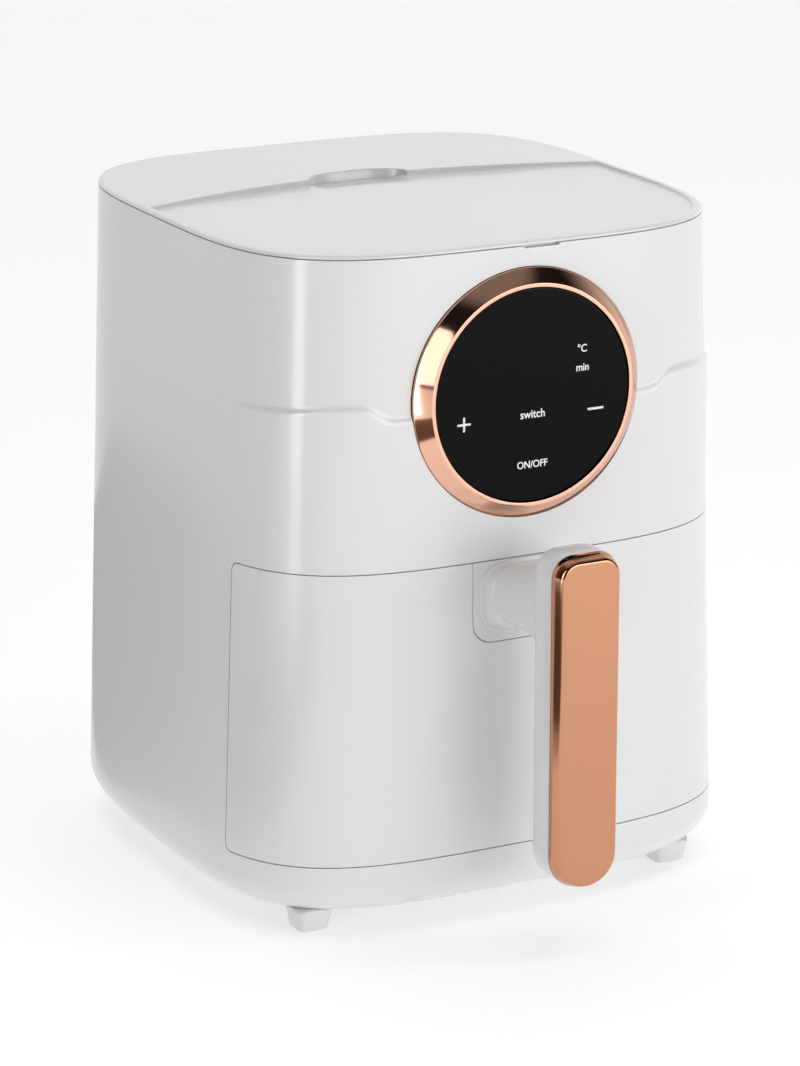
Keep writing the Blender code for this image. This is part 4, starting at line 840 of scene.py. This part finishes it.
# %% [markdown]
# ## Handle
#
# The handle is a white moulding: a foot flush with the drawer front, a short neck with soft fillets and an
# upright grip, faced with a plated trim. Foot, neck and grip are three closed surfaces that run into each
# other. The grip's outline is nearly a half circle at its lower end and has smaller corners at its top.
#
# Grip and trim could be bevelled boxes, but a profile carried along the outline sets each edge's own round:
# the trim's front edge is a wide soft bevel, and the grip's back edge is rounder than its front.

# %% The grip's outline
TOP_CORNER = 0.0105
foot_half = notch - FIT


def grip_outline(inset, count=18):
    """The grip from the front, clockwise as (x, z): half round below, corners above, drawn in by inset."""
    half = trim_high.x - inset
    low, high = trim_low.z + inset, trim_high.z - inset
    top = max(TOP_CORNER - inset, 0.0005)
    centres = [(0.0, low + half, half), (half - top, high - top, top), (-half + top, high - top, top)]
    spans = [(180, 360), (0, 90), (90, 180)]
    counts = [2 * count, count, count]
    arcs = []
    for (x, z, radius), (start, end), many in zip(centres, spans, counts):
        turn = np.radians(np.linspace(start, end, many))
        arcs.append(np.column_stack([x + radius * np.cos(turn), z + radius * np.sin(turn)]))
    sides = np.linspace(0, 1, 26)[1:-1, None]
    right = arcs[0][-1] * (1 - sides) + arcs[1][0] * sides
    left = arcs[2][-1] * (1 - sides) + arcs[0][0] * sides
    return np.vstack([arcs[0], right, arcs[1], arcs[2], left])[::-1]


def carried(profile):
    """Rings of the outline for a profile of (inset, y)."""
    made = []
    for inset, y in profile:
        flat = grip_outline(inset)
        made.append(np.column_stack([flat[:, 0], np.full(len(flat), y), flat[:, 1]]))
    return made


print("outline of", len(grip_outline(0.0)), "points")

# %% Trim
trim_front, trim_back = trim_low.y - centre_y, trim_high.y - centre_y
bevel = np.radians([24, 31, 38, 46, 54, 62, 70])
profile = [(0.0105, trim_front), (0.0055, trim_front), (0.0034, trim_front), (0.00315, trim_front + 0.00001)]
profile += [(0.0016 + 0.0024 * (math.sin(bevel[-1]) - math.sin(w)),
             trim_front + 0.00008 + 0.0024 * (math.cos(bevel[0]) - math.cos(w))) for w in bevel]
profile += [(0.0008, trim_front + 0.0040), (0.0, trim_back - 0.0004), (0.0003, trim_back), (0.008, trim_back)]
add_piece("trim_skin", *loft(carried(profile)), "drawer", "copper_plating", ["handle_trim"], SATIN_COPPER)

# %% Grip
GRIP_DEPTH = 0.0165
bar_front, bar_back = trim_back + FIT, trim_back + GRIP_DEPTH
soft = 0.0034
back_round = np.radians(np.arange(0, 91, 11.25))
profile = [(0.009, bar_front), (0.0012, bar_front), (0.0006, bar_front + 0.0001), (0.0, bar_front + 0.0007)]
profile += [(soft * (1 - math.cos(w)), bar_back - soft + soft * math.sin(w)) for w in back_round]
profile += [(0.009, bar_back)]
grip_solid = loft(carried(profile))
print("grip of", len(grip_solid[0]), "points,", round(GRIP_DEPTH * 1000, 1), "mm deep")

# %% Along the neck
neck_y = (-depth_at(0.0, foot_z) + 0.00003, bar_back - 0.0030)
length = neck_y[0] - neck_y[1]
share = joined([-0.0004 / length, -0.00005 / length], 0.13 * np.linspace(0, 1, 12)[:-1] ** 2,
               np.linspace(0.13, 0.60, 9)[:-1], np.linspace(0.60, 1.0, 18))
from_foot, from_bar = share * length, (1 - share) * length - 0.0030
hidden = np.where(from_foot < 0, 0.0009, 0.0)  # unseen skirt, so that the fillet starts level with the foot
print("neck of", len(share), "rings,", round(length * 1000, 1), "mm long")


# %% Neck
def flare(distance, radius):
    """r - sqrt(r^2 - (r - d)^2): a quarter-round fillet that spreads by r at d = 0."""
    return radius - np.sqrt(np.clip(radius**2 - np.clip(radius - distance, 0, radius) ** 2, 0, None))


half_w = 0.0178 - 0.0046 * share + flare(from_foot, 0.0050) + flare(from_bar, 0.0020) + hidden
z_high = 0.1708 - 0.0010 * smooth(share) + flare(from_foot, 0.0025) + flare(from_bar, 0.0050) + hidden
z_low = 0.1452 - 0.0020 * share - flare(from_foot, 0.0050) - flare(from_bar, 0.0130) - hidden
turn = 2 * math.pi * np.arange(64) / 64
cos, sin = np.cos(turn)[None], np.sin(turn)[None]
power = 2 / 3.4
xs = half_w[:, None] * np.sign(cos) * np.abs(cos) ** power
zs = ((z_high + z_low) / 2)[:, None] + ((z_high - z_low) / 2)[:, None] * np.sign(sin) * np.abs(sin) ** power
ys = (neck_y[0] - from_foot)[:, None] + (1 - share)[:, None] ** 3 * (foot_z + 0.02 - zs) * -FLARE[1]
neck_solid = loft(np.stack([xs, ys, zs], axis=-1))
print("neck", round(float(2 * half_w.min()) * 1000, 1), "mm wide where it is narrowest")

# %% Foot of the handle
foot_straight = foot_half - PATCH_CORNER
foot_x = np.sort(joined(-foot_half, -foot_half + PATCH_CORNER * CORNER_STEPS[1:],
                        spaced(-foot_straight, foot_straight, 0.004)[1:],
                        foot_half - PATCH_CORNER * CORNER_STEPS))
foot_rows = np.linspace(foot_z + FIT, panel_high.z, 12)
foot_in = foot_half - np.abs(foot_x)
fading = 1 - (foot_rows - foot_rows[0]) / (foot_rows[-1] - foot_rows[0])
zz = foot_rows[:, None] + corner_rise(foot_in, PATCH_CORNER, 0.01) * fading[:, None]
xx = np.repeat(foot_x[None], len(foot_rows), axis=0)
outer = np.stack([xx, -depth_at(xx, zz), zz], axis=-1)
index = np.arange(xx.size).reshape(xx.shape)
foot = add_piece("handle_foot", outer.reshape(-1, 3), quads(index), "drawer", "white_shell")
thicken(foot, 0.0022, 0.0004)
add_piece("handle_body", *merged(grip_solid, neck_solid), "drawer", "white_shell", ["handle_grip"])

# %% [markdown]
# ## Feet
#
# Four short feet taper towards the worktop.

# %% Feet
FOOT_STACK = [(0.0, 0.74), (0.0, 0.78), (0.0003, 0.81), (0.0009, 0.83), (0.004, 0.90), (0.0075, 0.96),
              (0.0090, 1.0), (0.0110, 1.0)]  # height, and share of the full width
turn = 2 * math.pi * np.arange(56) / 56
plan = np.column_stack([np.sign(np.cos(turn)) * np.abs(np.cos(turn)) ** 0.5,
                        np.sign(np.sin(turn)) * np.abs(np.sin(turn)) ** 0.5])
for name in ("front_left", "front_right", "rear_left", "rear_right"):
    low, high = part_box("foot_" + name)
    middle = ((low.x + high.x) / 2, (low.y + high.y) / 2 - centre_y)
    half = (high.x - low.x) / 2
    rings = [np.column_stack([plan * half * size + middle, np.full(56, z)]) for z, size in FOOT_STACK]
    add_piece("foot_skin_" + name, *loft(rings), "housing", "white_shell", ["foot_" + name])

# %% [markdown]
# ## Frying pan
#
# The pan is pressed steel with a dark non-stick coating: a rounded floor edge, walls that taper a little, and
# a flat rim turned outwards. It is one profile carried round the pan's outline, up the outside, over the rim
# and down the inside. A single sheet with a thickness would be shorter, but its rim could not be rolled.

# %% The pan's outline
PAN_SHEET = 0.0012
pan_half = (pan_high.x, (pan_high.y - pan_low.y) / 2)
pan_y = (pan_high.y + pan_low.y) / 2 - centre_y
turn = 2 * math.pi * np.arange(168) / 168
pan_plan = np.column_stack([np.sign(np.cos(turn)) * np.abs(np.cos(turn)) ** (2 / SQUARENESS),
                            np.sign(np.sin(turn)) * np.abs(np.sin(turn)) ** (2 / SQUARENESS)])


def pan_ring(z, inset, taper=True):
    """The pan's outline drawn in by inset, and by up to 4 mm more towards the floor."""
    draw = inset + (0.004 * (pan_high.z - z) / (pan_high.z - pan_low.z) if taper else 0.0)
    flat = pan_plan * (np.array(pan_half) - draw) + [0.0, pan_y]
    return np.column_stack([flat, np.full(len(flat), z)])


print("pan", [round(2 * half * 1000) for half in pan_half], "mm across its rim")

# %% The pan's profile
arc = np.radians(np.linspace(0, 90, 9))
rings = [pan_ring(pan_low.z, 0.045)]
rings += [pan_ring(pan_low.z + 0.0115 * (1 - math.cos(w)), 0.003 + 0.0115 * (1 - math.sin(w))) for w in arc]
rings += [pan_ring(z, 0.003) for z in np.linspace(pan_low.z + 0.016, pan_high.z - 0.004, 8)]
rings += [pan_ring(pan_high.z - 0.0022, 0.003), pan_ring(pan_high.z - PAN_SHEET - 0.0002, 0.0026, False)]
rings += [pan_ring(pan_high.z - PAN_SHEET, 0.0020, False), pan_ring(pan_high.z - PAN_SHEET, 0.0003, False)]
rings += [pan_ring(pan_high.z - 0.0009, 0.0, False), pan_ring(pan_high.z - 0.0003, 0.0, False)]
rings += [pan_ring(pan_high.z, 0.0003, False), pan_ring(pan_high.z, 0.0030, False)]
rings += [pan_ring(pan_high.z - 0.0003, 0.0038, False), pan_ring(pan_high.z - 0.0014, 0.0042)]
rings += [pan_ring(z, 0.0042) for z in np.linspace(pan_high.z - 0.004, pan_low.z + 0.016, 8)]
rings += [pan_ring(pan_low.z + PAN_SHEET + 0.0103 * (1 - math.cos(w)), 0.0042 + 0.0103 * (1 - math.sin(w)))
          for w in arc[::-1]]
rings += [pan_ring(pan_low.z + PAN_SHEET, 0.045)]
add_piece("pan_skin", *loft(rings), "drawer", "pan_coating", ["frying_pan"])

# %% [markdown]
# ## Rear cover
#
# The back has a removable cover, flush with the housing, with two columns of six louvres for the hot air and
# a round hole for the cord's bush. A sloping slat stands behind each louvre, so that no finger gets in.
#
# Twelve Boolean cuts would work too. As the grid's lines already run along the louvres, it is enough to leave
# their faces out, and the wall's thickness and soft edges come from the modifiers.

# %% Columns and rows of the rear cover
LOUVRE_X = (0.0055, 0.0545)
LOUVRE_TALL = 0.0050
louvre_z = 0.200 + 0.0125 * np.arange(6)
gland_low, gland_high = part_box("cord_gland")
gland = ((gland_low.x + gland_high.x) / 2, (gland_low.z + gland_high.z) / 2)
t_in = REAR_CORNER * CORNER_STEPS
gland_x = np.array([gland[0] - 0.0110, gland[0] + 0.0110])
inner_x = joined(spaced(0.0, LOUVRE_X[0], 0.003), spaced(LOUVRE_X[0], gland_x[0], 0.0042),
                 spaced(gland_x[0], LOUVRE_X[1], 0.0026), spaced(LOUVRE_X[1], gland_x[1], 0.0022), gland_x[1])
half_x = joined(inner_x, np.sort(rear_half - t_in)[np.sort(rear_half - t_in) > gland_x[1] + 1e-6])
cover_x = joined(-half_x[:0:-1], half_x)
gland_rows = (gland[1] - 0.0110, gland[1] + 0.0110)
z_parts = [spaced(rear_z[0], gland_rows[0], 0.003), spaced(gland_rows[0], gland_rows[1], 0.0024),
           spaced(gland_rows[1], louvre_z[0], 0.0065)]
for z in louvre_z:
    z_parts += [[z], [z + LOUVRE_TALL / 2], spaced(z + LOUVRE_TALL, z + 0.0125, 0.0038)]
z_parts += [spaced(louvre_z[-1] + 0.0125, rear_z[1], 0.0048), rear_z[1]]
cover_rows = joined(*z_parts)
print(len(cover_rows), "rows and", len(cover_x), "columns")

# %% Its rounded corners
inside_t = rear_half - np.abs(cover_x)
zz = np.repeat(cover_rows[:, None], len(cover_x), axis=1)
middle_part = corner_rise(inside_t, REAR_CORNER, 0.01)
low_weight = np.clip(1 - (zz - rear_z[0]) / 0.10, 0, 1)
high_weight = np.clip(1 - (rear_z[1] - zz) / 0.018, 0, 1)
zz = zz + middle_part * (low_weight - high_weight * (zz > 0.25))
xx = np.repeat(cover_x[None], len(cover_rows), axis=0)
grid = np.stack([xx, depth_at(xx, zz), zz], axis=-1)
index = np.arange(xx.size).reshape(xx.shape)
print("cover from", round(float(zz.min()), 4), "to", round(float(zz.max()), 4))

# %% Louvres and the bush's hole
middle_x, middle_z = (cover_x[1:] + cover_x[:-1]) / 2, (cover_rows[1:] + cover_rows[:-1]) / 2
in_columns = (np.abs(middle_x) > LOUVRE_X[0]) & (np.abs(middle_x) < LOUVRE_X[1])
in_rows = ((middle_z[:, None] > louvre_z) & (middle_z[:, None] < louvre_z + LOUVRE_TALL)).any(axis=1)
keep = ~(in_rows[:, None] & in_columns[None])
g_rows = [int(np.argmin(np.abs(cover_rows - z))) for z in gland_rows]
g_columns = [int(np.argmin(np.abs(cover_x - x))) for x in gland_x]
keep[g_rows[0] : g_rows[1], g_columns[0] : g_columns[1]] = False
points, hole_faces = round_hole(grid.reshape(-1, 3), index, g_rows, g_columns, gland, 0.0068,
                                lambda x, z: depth_at(x, z))
faces = np.vstack([quads(index, keep), hole_faces])[:, ::-1]
rear = add_piece("rear_skin", points, faces, "housing", "white_shell", ["rear_cover"])
thicken(rear, WALL, 0.0004)

# %% Slats behind the louvres
SLAT = [(0.0024, LOUVRE_TALL + 0.0008), (0.0034, LOUVRE_TALL + 0.0008), (0.0088, -0.0006),
        (0.0078, -0.0006)]  # corners of a slat's section: depth behind the surface, and height
slats = []
for z in louvre_z:
    for side in (-1, 1):
        x = side * np.linspace(LOUVRE_X[0] - 0.001, LOUVRE_X[1] + 0.001, 9)
        y = depth_at(x, z)
        section = np.array([np.column_stack([x, y - deep, np.full(9, z + up)]) for deep, up in SLAT])
        slats.append(loft(section.transpose(1, 0, 2)[::side]))
add_piece("rear_slats", *merged(*slats), "housing", "grey_plastic")

# %% [markdown]
# ## Screws
#
# The rear cover and the base are each held by four small pan-head screws with a cross recess. A head is a
# dome as a function of radius and angle, with the cross pressed into it. Cutting the cross with a Boolean
# would leave sharp edges that real pressed heads don't have.


# %% Head of a screw
def screw_head(centre, out, across, radius, tall):
    """h (1 - 0.75 (r/R)^3), less the cross |u| < w or |v| < w within r < 0.6 R, on centre along out."""
    share = np.linspace(0.02, 1, 15)[:, None]
    turn = 2 * math.pi * np.arange(48) / 48
    u, v = share * np.cos(turn), share * np.sin(turn)
    arm = np.maximum(smooth((0.14 - np.abs(u)) / 0.05), smooth((0.14 - np.abs(v)) / 0.05))
    height = tall * (1 - 0.75 * share**3) - 0.62 * tall * arm * smooth((0.62 - share) / 0.1)
    up = np.cross(out, across)
    top = np.array(centre) + radius * (u[..., None] * across + v[..., None] * up)
    top = top + height[..., None] * np.array(out)
    base = np.array(centre) + radius * (np.cos(turn)[:, None] * across + np.sin(turn)[:, None] * up)
    return loft(np.concatenate([base[None], top[::-1]]))


some_head = screw_head((0, 0, 0), np.array([0.0, 0, 1]), np.array([1.0, 0, 0]), 0.003, 0.0018)
print("a head has", len(some_head[0]), "points")


# %% Screws
def screw_piece(name, out, across):
    """A head and its shank, in the box of the CAD screw it stands for."""
    low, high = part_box(name)
    middle = (np.array(low) + np.array(high)) / 2 - [0, centre_y, 0]
    out, across = np.array(out, float), np.array(across, float)
    span = abs(np.dot(np.array(high) - np.array(low), out))
    tall = 0.0018
    seat = middle + out * (span / 2 - tall)
    wide = abs(np.dot(np.array(high) - np.array(low), across)) / 2
    head = screw_head(seat, out, across, wide, tall)
    turn = 2 * math.pi * np.arange(24) / 24
    up = np.cross(out, across)
    circle = 0.0015 * (np.cos(turn)[:, None] * across + np.sin(turn)[:, None] * up)
    depths = np.linspace(-(span - tall), 0.0002, 12)
    stem_rings = [seat + out * d + circle * (1.0 if k % 2 else 0.86) for k, d in enumerate(depths)]
    return merged(head, loft(stem_rings))


for number in range(1, 5):
    for kind, out, across in (("rear", (0, 1, 0), (1, 0, 0)), ("base", (0, 0, -1), (1, 0, 0))):
        name = f"{kind}_screw_{number}"
        add_piece(name + "_skin", *screw_piece(name, out, across), "housing", "screw_steel", [name])

# %% [markdown]
# ## Floor, light and camera
#
# A plain pale floor runs out to a white backdrop. A dome of even light would show the shape but leave the
# plated parts dull, so narrow lamps stand beside it, some of them only for the reflections. Two cards lie on
# the floor at the left: they darken that side a little and give the rounded edges something dark to reflect.

# %% Sheets of the studio
scene = bpy.context.scene
scene.view_settings.view_transform = "Standard"


def lit(name, colour, strength):
    """A material that only glows."""
    made = bpy.data.materials.new(name)
    made.use_nodes = True
    made.node_tree.nodes.clear()
    glow = made.node_tree.nodes.new("ShaderNodeEmission")
    glow.inputs["Color"].default_value = (*colour, 1)
    glow.inputs["Strength"].default_value = strength
    out = made.node_tree.nodes.new("ShaderNodeOutputMaterial")
    made.node_tree.links.new(glow.outputs[0], out.inputs[0])
    return made


def stage_sheet(name, points, faces, material):
    """A sheet that belongs to the studio, not to the object."""
    mesh = bpy.data.meshes.new(name)
    mesh.from_pydata([tuple(p) for p in points], [], faces)
    mesh.shade_smooth()
    mesh.materials.append(material)
    made = bpy.data.objects.new(name, mesh)
    scene.collection.objects.link(made)
    made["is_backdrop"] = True
    print(name, len(mesh.vertices), "points")
    return made


# %% Floor
FLOOR_HALF = 6
floor_paint = finish_of("floor_paint", (0.62, 0.62, 0.62), 0.7, grain=30, bump=0.0, spread=0.05, tint=0.004)
floor_shader = floor_paint.node_tree.nodes["Principled BSDF"]
floor_shader.inputs["Specular IOR Level"].default_value = 0.1
floor_shader.inputs["Emission Color"].default_value = (1, 1, 1, 1)
floor_shader.inputs["Emission Strength"].default_value = 0.46
corners = [(FLOOR_HALF * x, FLOOR_HALF * y, 0) for x, y in ((-1, -1), (1, -1), (1, 1), (-1, 1))]
stage_sheet("floor", corners, [(0, 1, 2, 3)], floor_paint)


# %% Even light
def studio(parts, base):
    """World radiance: base + the sum of strength * smoothstep((d . s - from) / (to - from)) over the parts.

    A reflected ray meets only the given share of each part: the lamps shape the reflections instead.
    """
    world = bpy.data.worlds.new("studio")
    scene.world = world
    world.use_nodes = True
    nodes, links = world.node_tree.nodes, world.node_tree.links
    place, path = nodes.new("ShaderNodeTexCoord"), nodes.new("ShaderNodeLightPath")
    steady = nodes.new("ShaderNodeValue")
    steady.outputs[0].default_value = base
    total = steady.outputs[0]
    for direction, start, end, strength, share in parts:
        dot = nodes.new("ShaderNodeVectorMath")
        dot.operation = "DOT_PRODUCT"
        dot.inputs[1].default_value = Vector(direction).normalized()
        links.new(place.outputs["Generated"], dot.inputs[0])
        step = nodes.new("ShaderNodeMapRange")
        step.interpolation_type = "SMOOTHSTEP"
        step.inputs["From Min"].default_value = start
        step.inputs["From Max"].default_value = end
        links.new(dot.outputs["Value"], step.inputs["Value"])
        seen = nodes.new("ShaderNodeMapRange")
        seen.inputs["To Min"].default_value = strength
        seen.inputs["To Max"].default_value = strength * share
        links.new(path.outputs["Is Glossy Ray"], seen.inputs["Value"])
        both = nodes.new("ShaderNodeMath")
        both.operation = "MULTIPLY_ADD"
        links.new(step.outputs["Result"], both.inputs[0])
        links.new(seen.outputs["Result"], both.inputs[1])
        links.new(total, both.inputs[2])
        total = both.outputs[0]
    nodes["Background"].inputs["Color"].default_value = (1, 1, 1, 1)
    links.new(total, nodes["Background"].inputs["Strength"])
    print("even light of", len(parts), "parts over", base)


studio([((0, 0, 1), 0.80, 0.90, 1.60, 0.14), ((0.2, 1, 0), 0.05, 0.7, 0.90, 1.0),
        ((1, 0.4, -0.1), 0.6, 0.95, 0.25, 1.0)], 0.012)


# %% Lamps
def lamp(name, azimuth, height, distance, size, power, lights=True, shines=True):
    """A rectangular soft lamp facing the object; azimuth is measured from the front towards the right.

    It can be left out of the even light (lights) or of the reflections (shines).
    """
    data = bpy.data.lights.new(name, "AREA")
    data.shape = "RECTANGLE"
    data.size, data.size_y = size
    data.energy = power
    made = bpy.data.objects.new(name, data)
    turn = math.radians(azimuth)
    made.location = (distance * math.sin(turn), centre_y - distance * math.cos(turn), height)
    aim = Vector((0.0, centre_y, 0.2 if height > 0.8 else height)) - made.location
    made.rotation_euler = aim.to_track_quat("-Z", "Y").to_euler()
    made.visible_camera = False
    made.visible_diffuse = lights
    made.visible_glossy = shines
    scene.collection.objects.link(made)
    print(name, "at", [round(v, 2) for v in made.location])


lamp("key", 58, 1.91, 1.00, (0.08, 0.50), 2.5, shines=False)
lamp("streak", 58, 1.91, 1.00, (0.05, 0.50), 0.14, lights=False)
lamp("sheen_left", -52, 0.55, 0.82, (0.30, 0.56), 1.1, lights=False)
lamp("broad_right", 24, 0.50, 1.70, (1.5, 0.8), 14)
lamp("strip_left", -61, 0.31, 0.80, (0.14, 0.60), 1.3)


# %% Cards on the floor
def one_sided(material):
    """The material on a sheet's upper side only: nothing is seen of it from below."""
    nodes, links = material.node_tree.nodes, material.node_tree.links
    side, clear = nodes.new("ShaderNodeNewGeometry"), nodes.new("ShaderNodeBsdfTransparent")
    mix = nodes.new("ShaderNodeMixShader")
    links.new(side.outputs["Backfacing"], mix.inputs["Fac"])
    links.new(nodes["Principled BSDF"].outputs["BSDF"], mix.inputs[1])
    links.new(clear.outputs["BSDF"], mix.inputs[2])
    links.new(mix.outputs["Shader"], nodes["Material Output"].inputs["Surface"])


dark_paint = finish_of("dark_paint", (0.10, 0.045, 0.02), 0.9, grain=20, bump=0.0)
card_paint = finish_of("card_paint", (0.58, 0.56, 0.53), 0.9, grain=20, bump=0.0)
CARDS = (
    ("card_left", [(-0.29, -0.14, 0.004), (0.06, 0.62, 0.004), (-0.40, 0.90, 0.004), (-0.95, 0.0, 0.004)],
     card_paint),
    ("card_low", [(-0.60, -0.52, 0.004), (-0.36, -0.42, 0.004), (-0.27, 0.06, 0.006), (-0.55, 0.10, 0.006)],
     dark_paint),
)
for name, corners, paint in CARDS:
    one_sided(paint)
    card = stage_sheet(name, corners, [(0, 1, 2, 3)], paint)
    card.visible_camera = False
    card.visible_shadow = False

# %% Backdrop
DOME = 5.5
turn = 2 * math.pi * np.arange(48) / 48
rise = np.linspace(0, math.pi / 2 - 0.02, 16)
dome_rings = [np.column_stack([DOME * math.cos(w) * np.cos(turn), DOME * math.cos(w) * np.sin(turn),
                               np.full(48, DOME * math.sin(w) - 0.01)]) for w in rise]
dome_points, dome_faces = loft(dome_rings, False, True)
backdrop = stage_sheet("backdrop", dome_points, [list(dict.fromkeys(each)) for each in dome_faces.tolist()],
                       lit("backdrop_white", (1, 1, 1), 1.0))
backdrop.visible_diffuse = False
backdrop.visible_glossy = False
backdrop.visible_shadow = False

# %% Camera
eye = bpy.data.cameras.new("camera")
camera = bpy.data.objects.new("camera", eye)
scene.collection.objects.link(camera)
back = Vector((-0.43901, -0.85212, 0.28490))
camera.location = (-0.84262, -1.64044 + centre_y, 0.69889)
camera.rotation_euler = (-back).to_track_quat("-Z", "Y").to_euler()
eye.sensor_fit = "AUTO"
eye.sensor_width = 36
eye.lens = 133.98
scene.camera = camera
print("camera at", [round(v, 3) for v in camera.location], "lens", round(eye.lens, 2))

# %% Finish
low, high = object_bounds()
